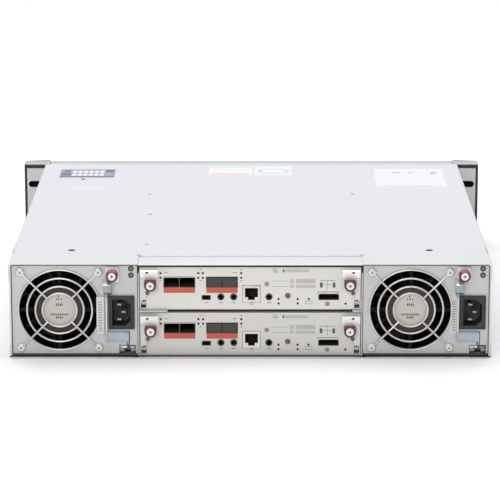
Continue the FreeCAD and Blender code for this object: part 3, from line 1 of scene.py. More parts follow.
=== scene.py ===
"""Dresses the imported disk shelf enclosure: finishes, wire guards, screws, ports, labels, light and camera.

The part stands in metres with +Z up and its rear panel facing -Y. Places are measured from the boxes of
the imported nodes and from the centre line, and every new piece rides on the body that carries it.
"""

from __future__ import annotations

import logging
import math
from collections.abc import Callable, Iterable, Sequence
from dataclasses import dataclass, field
from enum import Enum

import bpy
from mathutils import Matrix, Vector


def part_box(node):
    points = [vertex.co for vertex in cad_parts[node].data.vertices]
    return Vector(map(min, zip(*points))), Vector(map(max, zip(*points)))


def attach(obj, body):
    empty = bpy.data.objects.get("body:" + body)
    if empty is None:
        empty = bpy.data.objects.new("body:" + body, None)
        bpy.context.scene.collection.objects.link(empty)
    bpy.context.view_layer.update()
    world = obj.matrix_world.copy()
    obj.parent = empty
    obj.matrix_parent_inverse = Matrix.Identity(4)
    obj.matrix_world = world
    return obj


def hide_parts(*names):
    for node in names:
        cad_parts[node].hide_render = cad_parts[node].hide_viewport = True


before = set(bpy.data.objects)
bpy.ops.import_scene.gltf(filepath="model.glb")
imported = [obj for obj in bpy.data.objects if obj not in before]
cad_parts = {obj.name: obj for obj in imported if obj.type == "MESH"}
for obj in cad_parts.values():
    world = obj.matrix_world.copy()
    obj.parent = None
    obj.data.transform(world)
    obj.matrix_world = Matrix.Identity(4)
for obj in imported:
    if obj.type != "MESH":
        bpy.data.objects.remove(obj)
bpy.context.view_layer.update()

log = logging.getLogger("disk_shelf")

MM = 0.001
Point = tuple[float, float, float]
Spot = tuple[float, float]
Span = tuple[float, float]
Bar = tuple[Span, Span]
Colour = tuple[float, float, float]
FaceTest = Callable[[Vector, Vector], bool]
OPEN: Span = (-math.inf, math.inf)
SHARP = 35.0


def tint(red: int, green: int, blue: int) -> Colour:
    """Turns a display colour into the linear colour that shaders use.

    Args:
        red: The red channel, 0 to 255.
        green: The green channel, 0 to 255.
        blue: The blue channel, 0 to 255.

    Returns:
        The linear colour, each channel 0 to 1.
    """

    def linear(channel: int) -> float:
        """One channel as linear light."""
        share = channel / 255
        return share / 12.92 if share <= 0.04045 else ((share + 0.055) / 1.055) ** 2.4

    return (linear(red), linear(green), linear(blue))


class Side(Enum):
    """The two sides of the shelf as seen from the rear, with the sign of X on each."""

    LEFT = -1
    RIGHT = 1

    @property
    def word(self) -> str:
        """The side's name in node and body names."""
        return self.name.lower()


class Level(Enum):
    """The two controller levels."""

    LOWER = 0
    UPPER = 1

    @property
    def word(self) -> str:
        """The level's name in node and body names."""
        return self.name.lower()


class Grain(Enum):
    """The way a sheet's fine scratches run, as stretches of the noise on X, Y and Z."""

    NONE = (1.0, 1.0, 1.0)
    ALONG_X = (0.04, 1.0, 1.0)
    ALONG_Y = (1.0, 0.04, 1.0)
    ALONG_Z = (1.0, 1.0, 0.04)


class Axis(Enum):
    """The turn that lays a Blender cylinder or torus, which stands on Z, along an axis."""

    Y = (math.pi / 2, 0.0, 0.0)
    Z = (0.0, 0.0, 0.0)


def below(limit: float) -> Span:
    """Everything below a limit."""
    return (-math.inf, limit)


def above(limit: float) -> Span:
    """Everything above a limit."""
    return (limit, math.inf)


def beside(edge: float, low: float, high: float) -> Span:
    """The span between two distances from an edge, which are in millimetres."""
    return (edge + low * MM, edge + high * MM)


# ---------------------------------------------------------------------------------------------------
# Shaders
# ---------------------------------------------------------------------------------------------------


class Number:
    """A number inside a shader, on which Python's operators build Math nodes."""

    def __init__(self, shader: Shader, socket: bpy.types.NodeSocket) -> None:
        """Wraps an output socket of one of the shader's nodes."""
        self.shader = shader
        self.socket = socket

    def _maths(self, operation: str, first: object, second: object) -> Number:
        """Adds one Math node on two numbers and returns its result."""
        return self.shader.node("ShaderNodeMath", {"operation": operation}, {0: first, 1: second})

    def __add__(self, other: object) -> Number:
        """Adds."""
        return self._maths("ADD", self, other)

    __radd__ = __add__

    def __sub__(self, other: object) -> Number:
        """Subtracts."""
        return self._maths("SUBTRACT", self, other)

    def __rsub__(self, other: object) -> Number:
        """Subtracts from a plain number."""
        return self._maths("SUBTRACT", other, self)

    def __mul__(self, other: object) -> Number:
        """Multiplies."""
        return self._maths("MULTIPLY", self, other)

    __rmul__ = __mul__

    def __gt__(self, other: object) -> Number:
        """1 where this is greater, else 0."""
        return self._maths("GREATER_THAN", self, other)

    def __lt__(self, other: object) -> Number:
        """1 where this is less, else 0."""
        return self._maths("LESS_THAN", self, other)


class Shader:
    """A material's nodes, added one call at a time around its Principled shader."""

    def __init__(self, name: str) -> None:
        """Starts a material with a bare Principled shader.

        Args:
            name: The material's name.
        """
        self.material = bpy.data.materials.new(name)
        self.material.use_nodes = True
        self.tree = self.material.node_tree
        self.surface = self.tree.nodes["Principled BSDF"]

    def node(self, kind: str, settings: dict[str, object], values: dict[int | str, object],
             output: int | str = 0) -> Number:
        """Adds one node.

        Args:
            kind: The node's type.
            settings: Its properties, which are set first.
            values: Its inputs by name or number, as plain values or as links from other nodes.
            output: The output to return.

        Returns:
            The chosen output.
        """
        made = self.tree.nodes.new(kind)
        for key, value in settings.items():
            setattr(made, key, value)
        for key, value in values.items():
            self._feed(made.inputs[key], value)
        return Number(self, made.outputs[output])

    def _feed(self, socket: bpy.types.NodeSocket, value: object) -> None:
        """Links or sets one input.

        Args:
            socket: The input.
            value: A link from another node, a colour or a plain value.
        """
        if isinstance(value, Number):
            self.tree.links.new(value.socket, socket)
        elif isinstance(value, tuple) and len(value) == 3 and socket.type == "RGBA":
            socket.default_value = (*value, 1.0)
        else:
            socket.default_value = value

    def set(self, **inputs: object) -> None:
        """Sets or links inputs of the Principled shader, named with underscores for spaces."""
        for key, value in inputs.items():
            self._feed(self.surface.inputs[key.replace("_", " ").title().replace("Ior", "IOR")], value)

    def place(self, scale: Point = (1.0, 1.0, 1.0), centre: Point = (0.0, 0.0, 0.0)) -> Number:
        """Object coordinates, measured from a centre and stretched.

        Args:
            scale: The stretch on each axis.
            centre: The point that becomes the origin.

        Returns:
            The coordinate vector.
        """
        here = self.node("ShaderNodeTexCoord", {}, {}, "Object")
        moved = tuple(-c * s for c, s in zip(centre, scale))
        return self.node("ShaderNodeMapping", {}, {"Vector": here, "Location": moved, "Scale": scale})

    def noise(self, scale: float, grain: Grain = Grain.NONE, detail: float = 3.0) -> Number:
        """Noise over the surface, 0 to 1.

        Args:
            scale: The number of features to a metre.
            grain: The way the noise is drawn out.
            detail: The number of finer layers.

        Returns:
            The noise.
        """
        values = {"Vector": self.place(grain.value), "Scale": scale, "Detail": detail}
        return self.node("ShaderNodeTexNoise", {}, values, "Fac")

    def along(self, axis: str) -> Number:
        """The coordinate on the axis X, Y or Z."""
        return self.node("ShaderNodeSeparateXYZ", {}, {0: self.place()}, axis)

    def mix(self, share: Number | float, first: object, second: object) -> Number:
        """Blends two colours.

        Args:
            share: How much of the second colour shows.
            first: The first colour.
            second: The second colour.

        Returns:
            The blended colour.
        """
        return self.node("ShaderNodeMix", {"data_type": "RGBA"}, {0: share, 6: first, 7: second}, 2)

    def bump(self, height: Number, strength: float, distance: float) -> None:
        """Feeds a height into the surface's normal.

        Args:
            height: The height, 0 to 1.
            strength: The bump's strength.
            distance: The height of a step of 1, in metres.
        """
        values = {"Height": height, "Strength": strength, "Distance": distance}
        self.set(normal=self.node("ShaderNodeBump", {}, values, "Normal"))


def shaded(colour: Colour, share: float) -> Colour:
    """A colour made darker or lighter by a share."""
    return tuple(min(channel * share, 1.0) for channel in colour)


@dataclass(frozen=True)
class Zone:
    """A box of space in which a finish takes another colour. A side may be open."""

    colour: Colour
    x: Span = OPEN
    y: Span = OPEN
    z: Span = OPEN

    def mask(self, shader: Shader) -> Number:
        """Tells inside from outside.

        Args:
            shader: The shader to build in.

        Returns:
            1 inside the box, else 0.
        """
        masks = []
        for axis, (low, high) in zip("XYZ", (self.x, self.y, self.z)):
            if math.isfinite(low):
                masks.append(shader.along(axis) > low)
            if math.isfinite(high):
                masks.append(shader.along(axis) < high)
        share = masks[0]
        for mask in masks[1:]:
            share = share * mask
        return share


@dataclass(frozen=True)
class Disc:
    """A round zone about an axis that runs along Y, in which a finish takes another colour."""

    colour: Colour
    centre: Point
    radius: float

    def mask(self, shader: Shader) -> Number:
        """Tells inside from outside.

        Args:
            shader: The shader to build in.

        Returns:
            1 inside the radius, else 0.
        """
        out = shader.place((1.0, 0.0, 1.0), self.centre)
        far = shader.node("ShaderNodeVectorMath", {"operation": "LENGTH"}, {0: out}, "Value")
        return far < self.radius


@dataclass(frozen=True)
class Finish:
    """A surface finish, with the slot that it belongs to, where it has one."""

    name: str
    slot: str | None
    colour: Colour
    roughness: float
    metallic: float = 0.0
    zones: tuple[Zone | Disc, ...] = field(default=(), kw_only=True)
    shine: float = field(default=0.5, kw_only=True)

    def material(self) -> bpy.types.Material:
        """Makes the finish's material on first use.

        Returns:
            The material.
        """
        made = bpy.data.materials.get(self.name)
        if made is None:
            shader = Shader(self.name)
            shader.set(metallic=self.metallic, specular_ior_level=self.shine)
            self.draw(shader)
            made = shader.material
        return made

    def zoned(self, shader: Shader, colour: Number) -> Number:
        """Lays the finish's zones over its colour.

        Args:
            shader: The shader.
            colour: The colour outside the zones.

        Returns:
            The colour with its zones.
        """
        for zone in self.zones:
            colour = shader.mix(zone.mask(shader), colour, zone.colour)
        return colour

    def draw(self, shader: Shader) -> None:
        """Adds the finish's own pattern to the shader."""
        raise NotImplementedError


@dataclass(frozen=True)
class SheetFinish(Finish):
    """Rolled sheet metal: fine scratches along its grain, and faint wide clouds of lighter zinc."""

    grain: Grain = Grain.NONE
    cloud: float = 0.05
    scratch: float = 0.06

    def draw(self, shader: Shader) -> None:
        """Adds clouds, scratches and a fine bump.

        Args:
            shader: The shader to build in.
        """
        clouds = shader.noise(14.0, Grain.NONE, 4.0)
        scratches = shader.noise(2600.0, self.grain, 2.0)
        pale = shader.mix(clouds, shaded(self.colour, 1 - self.cloud),
                          shaded(self.colour, 1 + self.cloud))
        worn = shader.mix(scratches * self.scratch, pale, shaded(self.colour, 0.72))
        shader.set(base_color=self.zoned(shader, worn),
                   roughness=self.roughness + (clouds - 0.5) * 0.12 + (scratches - 0.5) * 0.10)
        shader.bump(scratches, 0.10, 0.02 * MM)


@dataclass(frozen=True)
class PlatedFinish(Finish):
    """Bright plated steel: smooth, with soft streaks and a little dirt in its tone."""

    streak: float = 0.10

    def draw(self, shader: Shader) -> None:
        """Adds soft streaks in colour and gloss.

        Args:
            shader: The shader to build in.
        """
        streaks = shader.noise(260.0, Grain.ALONG_Z, 3.0)
        specks = shader.noise(1800.0, Grain.NONE, 2.0)
        streaked = shader.mix(streaks, shaded(self.colour, 1 - self.streak),
                              shaded(self.colour, 1 + self.streak))
        shader.set(base_color=self.zoned(shader, streaked),
                   roughness=self.roughness + (streaks - 0.5) * 0.14)
        shader.bump(specks, 0.06, 0.02 * MM)


@dataclass(frozen=True)
class MouldedFinish(Finish):
    """Moulded plastic: a fine spark-eroded grain and slight changes of tone."""

    pebble: float = 1500.0
    relief: float = 0.25

    def draw(self, shader: Shader) -> None:
        """Adds the pebbled grain.

        Args:
            shader: The shader to build in.
        """
        pebbles = shader.noise(self.pebble, Grain.NONE, 2.0)
        clouds = shader.noise(30.0, Grain.NONE, 3.0)
        clouded = shader.mix(clouds, shaded(self.colour, 0.88), shaded(self.colour, 1.14))
        shader.set(base_color=self.zoned(shader, clouded),
                   roughness=self.roughness + (pebbles - 0.5) * 0.16)
        shader.bump(pebbles, self.relief, 0.05 * MM)


@dataclass(frozen=True)
class PaperFinish(Finish):
    """Printed label stock: a faint fibre and a satin face."""

    def draw(self, shader: Shader) -> None:
        """Adds the fibre.

        Args:
            shader: The shader to build in.
        """
        fibre = shader.noise(900.0, Grain.NONE, 4.0)
        shader.set(base_color=shader.mix(fibre, shaded(self.colour, 0.97),
                                         shaded(self.colour, 1.03)),
                   roughness=self.roughness + (fibre - 0.5) * 0.10)
        shader.bump(fibre, 0.08, 0.01 * MM)


@dataclass(frozen=True)
class BoardFinish(Finish):
    """A printed circuit board: lacquer over faint copper tracks."""

    def draw(self, shader: Shader) -> None:
        """Adds the tracks as bands of a wave, broken by noise.

        Args:
            shader: The shader to build in.
        """
        across = shader.node("ShaderNodeTexWave", {"bands_direction": "X"},
                             {"Vector": shader.place(), "Scale": 160.0, "Distortion": 3.0}, "Fac")
        tracks = (across > 0.8) * (shader.noise(60.0) > 0.5)
        shader.set(base_color=shader.mix(tracks * 0.5, self.colour, shaded(self.colour, 2.2)),
                   roughness=self.roughness + tracks * 0.1)
        shader.bump(tracks, 0.2, 0.03 * MM)


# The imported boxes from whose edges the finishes' zones are measured.
cover_low, cover_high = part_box("top_cover")
tray_low, tray_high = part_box("chassis_tray")
cage_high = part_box("drive_cage")[1]
bay_low, bay_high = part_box("bay_frame")
supply_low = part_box("psu_left_case")[0]
lever_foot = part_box("psu_left_handle")[0].z
latch_foot = {level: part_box(f"controller_{level.word}_latch_left")[0].z for level in Level}
board_foot = {level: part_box(f"controller_{level.word}_board")[0].z for level in Level}
supply_screw_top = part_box("psu_left_thumbscrew")[1].z
seam_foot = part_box("controller_lower_case")[1].z


class Finishes:
    """The finishes that need no place of their own, with zones for edges, lips and tabs, many of them
    painted light and shade.
    """

    pale_sheet = tint(213, 214, 218)
    # Painted shade: the colour that stands for gap shadows and shaded hollows.
    cut_edge = tint(44, 44, 46)
    ink_black = tint(30, 28, 28)
    hem = beside(cover_high.z, -0.95, -0.1)
    # Painted shade: the gap shadow along the cover's rear hem, and the shade in the rims of its dimples.
    cover = SheetFinish("cover_zinc", "cover_steel", pale_sheet, 0.6, 0.15, Grain.ALONG_Y, 0.012, 0.03,
                        zones=(Zone(cut_edge, (cover_low.x + 3.0 * MM, cover_high.x - 3.0 * MM),
                                    below(cover_low.y + 0.4 * MM), hem),
                               Zone(cut_edge, y=beside(cover_low.y, 47.0, 65.0), z=hem)))
    # Painted highlight: the top faces are paler. Greyer: the cage's front lip, and the seam in front of the
    # cover. Painted shade: the gap shadow on the floor just under the modules' panels.
    chassis = SheetFinish("chassis_zinc", "zinc_steel", tint(200, 200, 201), 0.42, 0.55,
                          Grain.ALONG_Y, 0.05, 0.08,
                          zones=(Zone(tint(221, 222, 226), z=above(tray_high.z - 0.7 * MM)),
                                 Zone(tint(180, 180, 184), y=above(cage_high.y - 4.5 * MM),
                                      z=above(tray_high.z - 1.0 * MM)),
                                 Zone(tint(190, 190, 194), y=beside(tray_high.y, -1.8, 1.4),
                                      z=above(tray_high.z - 1.0 * MM)),
                                 Zone(cut_edge, y=beside(tray_low.y, 2.8, 9.0),
                                      z=below(1.35 * MM))))
    # Painted highlight: the top faces are paler. Painted shade: the gap shadow on the beam's rear edge and
    # on the edge of the shelf between the controllers.
    bay = SheetFinish("bay_zinc", "zinc_steel", tint(192, 192, 193), 0.6, 0.15, Grain.ALONG_Y,
                      0.012, 0.03,
                      zones=(Zone(pale_sheet, z=above(bay_high.z - 0.7 * MM)),
                             Zone(tint(14, 14, 15), y=below(bay_low.y + 3.4 * MM),
                                  z=above(bay_high.z - 7.0 * MM)),
                             Zone(tint(26, 26, 27), (-75.9 * MM, 93.8 * MM),
                                  below(bay_low.y + 7.3 * MM), beside(seam_foot, 0.3, 4.3))))
    # Painted shade: the gap shadow at the foot of the panel, over the floor's lip.
    supply = SheetFinish("supply_zinc", "module_steel", tint(197, 196, 196), 0.45, 0.45,
                         Grain.ALONG_X, 0.05, 0.10,
                         zones=(Zone(tint(96, 93, 92), y=below(supply_low.y + 1.5 * MM),
                                     z=below(supply_low.z + 1.7 * MM)),))
    # Painted shade: the lower controller's panel is a darker copy of the upper's, for the light that falls
    # off towards the bottom.
    controller = {
        Level.LOWER: SheetFinish("lower_controller_nickel", "module_steel", tint(206, 205, 201),
                                 0.42, 0.4, Grain.ALONG_X, 0.03, 0.08),
        Level.UPPER: SheetFinish("upper_controller_nickel", "module_steel", tint(216, 214, 210),
                                 0.42, 0.4, Grain.ALONG_X, 0.02, 0.06)}
    # Painted light and shade on the one plated sheet, from the top: the tab paler, the grip darker, the web
    # paler and the toe darker.
    lever = PlatedFinish("lever_blue_zinc", "lever_steel", tint(172, 185, 195), 0.32, 0.75, 0.14,
                         zones=(Zone(tint(212, 212, 212), z=above(lever_foot + 65.3 * MM)),
                                Zone(tint(150, 163, 172), z=beside(lever_foot, 52.3, 65.3)),
                                Zone(tint(206, 208, 210), z=beside(lever_foot, 19.8, 52.3)),
                                Zone(tint(138, 144, 148), z=below(lever_foot + 7.3 * MM))))
    # Painted highlight: the slanted tabs of the lower and the upper latches are paler.
    latch = PlatedFinish("latch_zinc", "lever_steel", tint(211, 210, 205), 0.52, 0.1, 0.04,
                         zones=(Zone(tint(248, 248, 247),
                                     z=beside(latch_foot[Level.LOWER], 27.3, 37.3)),
                                Zone(tint(248, 248, 247),
                                     z=above(latch_foot[Level.UPPER] + 27.3 * MM))))
    wire = PlatedFinish("guard_chrome", "chrome_wire", tint(214, 212, 208), 0.30, 0.6, 0.06)
    screw = PlatedFinish("thumbscrew_nickel", "screw_nickel", tint(232, 230, 226), 0.30, 0.4, 0.05)
    pan = PlatedFinish("pan_screw_zinc", "screw_nickel", tint(214, 216, 214), 0.38, 0.4, 0.08)
    dull = PlatedFinish("dull_screw", "screw_nickel", tint(148, 144, 138), 0.5, 0.3, 0.10)
    flush = PlatedFinish("flush_screw", "screw_nickel", tint(192, 192, 195), 0.5, 0.2, 0.08)
    pin = PlatedFinish("inlet_pin", "screw_nickel", tint(150, 150, 146), 0.35, 0.8, 0.10)
    black = MouldedFinish("moulded_black", "black_plastic", tint(40, 40, 40), 0.48)
    rotor = MouldedFinish("rotor_black", "black_plastic", tint(18, 17, 17), 0.6, shine=0.15)
    cap = MouldedFinish("cap_black", "black_plastic", tint(34, 33, 32), 0.40, 0.0, 1500.0, 0.15,
                        zones=(Zone(tint(186, 186, 189), z=above(cover_high.z - 0.4 * MM)),))
    blank = MouldedFinish("blank_grey", "blank_plastic", tint(62, 63, 66), 0.50)
    guide = MouldedFinish("guide_grey", "guide_plastic", tint(48, 48, 50), 0.55)
    board = BoardFinish("board_green", "circuit_board", tint(20, 92, 58), 0.35)
    dark = MouldedFinish("port_inside", "circuit_board", tint(34, 31, 30), 0.60, shine=0.2)
    port = PlatedFinish("port_shell", "circuit_board", tint(218, 213, 203), 0.34, 0.4, 0.08)
    # Dark: the lower part of each expansion socket's shell.
    socket = PlatedFinish("socket_shell", "circuit_board", tint(204, 202, 197), 0.4, 0.1, 0.06,
                          zones=(Zone(ink_black, z=below(board_foot[Level.LOWER] + 13.0 * MM)),
                                 Zone(ink_black, z=beside(board_foot[Level.UPPER], -6.0, 13.0))))
    slot_inside = MouldedFinish("slot_inside", "circuit_board", tint(46, 42, 40), 0.6, shine=0.2)
    # Painted shade: the darker colour of the walls of the screws' cross recesses.
    recess = MouldedFinish("screw_recess", "screw_nickel", tint(118, 112, 112), 0.5)
    plug = MouldedFinish("dust_plug", "circuit_board", tint(66, 66, 64), 0.55, shine=0.3)
    # Painted highlight: each shield is paler pink above the supply screws' tops, where the overhead light
    # falls on it.
    shield = MouldedFinish("shield_maroon", None, tint(100, 46, 60), 0.42,
                           zones=(Zone(tint(166, 84, 106), z=above(supply_screw_top)),))
    strip = MouldedFinish("strip_orange", None, tint(190, 84, 62), 0.50)
    button = MouldedFinish("button_maroon", "button_red", tint(128, 72, 84), 0.40)
    lamp = MouldedFinish("lamp_lens", None, tint(108, 114, 96), 0.3)
    bezel = PlatedFinish("lamp_bezel", "black_plastic", tint(44, 47, 42), 0.45, 0.1)
    stud = PlatedFinish("dark_stud", "chrome_wire", tint(104, 102, 98), 0.40, 0.4)
    paper = PaperFinish("label_paper", None, tint(228, 229, 231), 0.5)
    faint = PaperFinish("faint_label", None, tint(217, 218, 221), 0.5)
    grey_label = PaperFinish("supply_label", None, tint(206, 206, 204), 0.45)
    sticker = PaperFinish("hub_sticker", None, tint(192, 187, 180), 0.42)
    ink = PaperFinish("label_ink", None, tint(84, 82, 80), 0.55)
    faint_ink = PaperFinish("faint_ink", None, tint(146, 142, 136), 0.55)
    violet = PaperFinish("label_violet", None, tint(155, 157, 180), 0.5)
    deep_violet = PaperFinish("label_violet_edge", None, tint(112, 114, 138), 0.5)
    salmon = PaperFinish("label_salmon", None, tint(230, 204, 195), 0.5)
    cyan = PaperFinish("label_cyan", None, tint(176, 210, 222), 0.5)


# ---------------------------------------------------------------------------------------------------
# Modelling with Blender's own operators
# ---------------------------------------------------------------------------------------------------


class Bench:
    """Models one piece at a time. A finished piece's object stays at the origin, unturned."""

    @staticmethod
    def clear() -> None:
        """Deselects every object."""
        bpy.ops.object.select_all(action="DESELECT")

    @staticmethod
    def settle(name: str) -> bpy.types.Object:
        """Names the active object and puts its place into its mesh.

        Args:
            name: The piece's name.

        Returns:
            The object.
        """
        made = bpy.context.active_object
        bpy.ops.object.transform_apply(location=True, rotation=True, scale=True)
        made.name = name
        made.data.name = name
        return made

    @staticmethod
    def hold(piece: bpy.types.Object) -> None:
        """Makes a piece the only selected and the active object.

        Args:
            piece: The piece.
        """
        Bench.clear()
        piece.select_set(True)
        bpy.context.view_layer.objects.active = piece

    @staticmethod
    def block(name: str, x: Span, y: Span, z: Span) -> bpy.types.Object:
        """A block between two limits on each axis.

        Args:
            name: The piece's name.
            x: Its low and high X.
            y: Its low and high Y.
            z: Its low and high Z.

        Returns:
            The block.
        """
        Bench.clear()
        spans = (x, y, z)
        bpy.ops.mesh.primitive_cube_add(size=1.0, location=[sum(s) / 2 for s in spans])
        bpy.context.active_object.scale = [s[1] - s[0] for s in spans]
        return Bench.settle(name)

    @staticmethod
    def drum(name: str, centre: Point, radius: float, length: float, axis: Axis = Axis.Y,
             corners: int = 32) -> bpy.types.Object:
        """A cylinder about its centre.

        Args:
            name: The piece's name.
            centre: Its centre.
            radius: Its radius.
            length: Its length.
            axis: The axis that it lies along.
            corners: The number of its sides.

        Returns:
            The cylinder.
        """
        Bench.clear()
        bpy.ops.mesh.primitive_cylinder_add(vertices=corners, radius=radius, depth=length,
                                            location=centre, rotation=axis.value)
        return Bench.settle(name)

    @staticmethod
    def hoop(name: str, centre: Point, radius: float, wire: float, steps: int = 72,
             axis: Axis = Axis.Y) -> bpy.types.Object:
        """A ring of round wire.

        Args:
            name: The piece's name.
            centre: Its centre.
            radius: The radius of the wire's centre line.
            wire: The wire's own radius.
            steps: The number of its steps round.
            axis: The axis that it goes round.

        Returns:
            The ring.
        """
        Bench.clear()
        bpy.ops.mesh.primitive_torus_add(location=centre, rotation=axis.value, major_radius=radius,
                                         minor_radius=wire, major_segments=steps, minor_segments=12)
        return Bench.settle(name)

    @staticmethod
    def pick_faces(piece: bpy.types.Object, wanted: FaceTest) -> None:
        """Enters edit mode with only the wanted faces selected.

        Args:
            piece: The piece.
            wanted: Says yes to a face, by its centre and its normal.
        """
        Bench.hold(piece)
        bpy.context.tool_settings.mesh_select_mode = (False, False, True)
        mesh = piece.data
        mesh.vertices.foreach_set("select", [False] * len(mesh.vertices))
        mesh.edges.foreach_set("select", [False] * len(mesh.edges))
        mesh.polygons.foreach_set("select", [wanted(f.center, f.normal) for f in mesh.polygons])
        bpy.ops.object.mode_set(mode="EDIT")

    @staticmethod
    def pick_edges(piece: bpy.types.Object, wanted: FaceTest) -> None:
        """Enters edit mode with only the wanted edges selected.

        Args:
            piece: The piece.
            wanted: Says yes to an edge, by its middle and its direction.
        """
        Bench.hold(piece)
        bpy.context.tool_settings.mesh_select_mode = (False, True, False)
        mesh = piece.data
        ends = [[mesh.vertices[i].co for i in edge.vertices] for edge in mesh.edges]
        chosen = [wanted((a + b) / 2, (b - a).normalized()) for a, b in ends]
        mesh.vertices.foreach_set("select", [False] * len(mesh.vertices))
        mesh.polygons.foreach_set("select", [False] * len(mesh.polygons))
        mesh.edges.foreach_set("select", chosen)
        bpy.ops.object.mode_set(mode="EDIT")

    @staticmethod
    def done() -> None:
        """Leaves edit mode."""
        bpy.ops.object.mode_set(mode="OBJECT")

    @staticmethod
    def round_along(piece: bpy.types.Object, direction: Point, radius: float,
                    steps: int = 4) -> bpy.types.Object:
        """Rounds the edges that run along a direction.

        Args:
            piece: The piece.
            direction: The edges' direction.
            radius: The rounding's radius.
            steps: Its number of steps.

        Returns:
            The same piece.
        """
        along = Vector(direction)
        Bench.pick_edges(piece, lambda _, way: abs(way.dot(along)) > 0.99)
        bpy.ops.mesh.bevel(offset=radius, segments=steps, affect="EDGES")
        Bench.done()
        return piece

    @staticmethod
    def soften(piece: bpy.types.Object, width: float, steps: int = 2,
               angle: float = SHARP) -> bpy.types.Object:
        """Rounds every sharp edge a little with a Bevel modifier, applied, and shades it smoothly.

        Args:
            piece: The piece.
            width: The bevel's width.
            steps: Its number of steps.
            angle: The angle from which an edge counts as sharp, in degrees.

        Returns:
            The same piece.
        """
        Bench.hold(piece)
        bevel = piece.modifiers.new("soft_edges", "BEVEL")
        bevel.width = width
        bevel.segments = steps
        bevel.limit_method = "ANGLE"
        bevel.angle_limit = math.radians(angle)
        bpy.ops.object.modifier_apply(modifier=bevel.name)
        bpy.ops.object.shade_smooth_by_angle(angle=math.radians(angle))
        return piece

    @staticmethod
    def carve(piece: bpy.types.Object, cutter: bpy.types.Object) -> bpy.types.Object:
        """Cuts one piece out of another with a Boolean modifier and throws the cutter away.

        Args:
            piece: The piece that stays.
            cutter: The piece that goes.

        Returns:
            The piece that stays.
        """
        Bench.hold(piece)
        boolean = piece.modifiers.new("carve", "BOOLEAN")
        boolean.operation = "DIFFERENCE"
        boolean.object = cutter
        boolean.solver = "EXACT"
        bpy.ops.object.modifier_apply(modifier=boolean.name)
        bpy.data.objects.remove(cutter)
        return piece

    @staticmethod
    def cross(piece: bpy.types.Object, middle: Spot, reach: float, half: float,
              depth: Span) -> bpy.types.Object:
        """Cuts a cross recess into a screw's head, which faces -Y.

        Args:
            piece: The screw's head.
            middle: The X and Z of its axis.
            reach: The recess's reach from the axis.
            half: Half the width of its slots.
            depth: The cutter's span on Y.

        Returns:
            The same piece.
        """
        x, z = middle
        for across, up in ((reach, half), (half, reach)):
            cutter = Bench.block("recess", (x - across, x + across), depth, (z - up, z + up))
            Bench.carve(piece, cutter)
        return piece

    @staticmethod
    def dish(name: str, centre: Point, radius: float, rim: float, floor: float,
             axis: Axis = Axis.Y, corners: int = 24) -> bpy.types.Object:
        """A thin round disc with a sunk floor, which faces -Y or, where it stands on Z, upwards.

        Args:
            name: The piece's name.
            centre: Its centre.
            radius: Its radius.
            rim: The width of the rim round its floor.
            floor: How deep the floor lies.
            axis: The axis that it lies along.
            corners: The number of its sides.

        Returns:
            The disc.
        """
        facing = Vector((0, 0, 1)) if axis is Axis.Z else Vector((0, -1, 0))
        made = Bench.drum(name, centre, radius, 0.2 * MM, axis, corners)
        Bench.pick_faces(made, lambda _, normal: normal.dot(facing) > 0.9)
        bpy.ops.mesh.inset(thickness=rim, depth=-floor)
        Bench.done()
        return made

    @staticmethod
    def copy(piece: bpy.types.Object, name: str, move: Point = (0.0, 0.0, 0.0),
             stretch: Point = (1.0, 1.0, 1.0)) -> bpy.types.Object:
        """A copy with its own mesh, stretched about the origin and then moved.

        Args:
            piece: The piece to copy.
            name: The copy's name.
            move: How far it moves.
            stretch: How much it is stretched on each axis.

        Returns:
            The copy.
        """
        made = bpy.data.objects.new(name, piece.data.copy())
        made.data.name = name
        made.data.transform(Matrix.Translation(move) @ Matrix.Diagonal((*stretch, 1.0)))
        bpy.context.scene.collection.objects.link(made)
        return made

    @staticmethod
    def join(name: str, pieces: Sequence[bpy.types.Object]) -> bpy.types.Object:
        """Joins pieces into one object.

        Args:
            name: The joined piece's name.
            pieces: The pieces, the first of which stays.

        Returns:
            The joined piece.
        """
        Bench.hold(pieces[0])
        for piece in pieces[1:]:
            piece.select_set(True)
        bpy.ops.object.join()
        return Bench.settle(name)

    @staticmethod
    def scatter(name: str, master: bpy.types.Object, places: Iterable[Point],
                stretches: Iterable[Point] | None = None) -> bpy.types.Object:
        """Copies a piece that was modelled at the origin to many places, as one object.

        Args:
            name: The joined piece's name.
            master: The piece to copy, which is thrown away.
            places: Where each copy goes.
            stretches: How much each copy is stretched, where they differ.

        Returns:
            The joined copies.
        """
        spots = list(places)
        sizes = list(stretches) if stretches is not None else [(1.0, 1.0, 1.0)] * len(spots)
        copies = [Bench.copy(master, f"{name}_{i}", spot, size)
                  for i, (spot, size) in enumerate(zip(spots, sizes))]
        bpy.data.objects.remove(master)
        return Bench.join(name, copies)

    @staticmethod
    def skin(node: str, name: str, width: float) -> bpy.types.Object:
        """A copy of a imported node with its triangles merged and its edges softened.

        Args:
            node: The node.
            name: The copy's name.
            width: The width of the softened edges.

        Returns:
            The copy.
        """
        made = bpy.data.objects.new(name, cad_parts[node].data.copy())
        made.data.name = name
        made.data.materials.clear()
        bpy.context.scene.collection.objects.link(made)
        Bench.pick_faces(made, lambda *_: True)
        bpy.ops.mesh.remove_doubles(threshold=0.002 * MM)
        bpy.ops.mesh.dissolve_limited(angle_limit=math.radians(0.5))
        Bench.done()
        return Bench.soften(made, width)


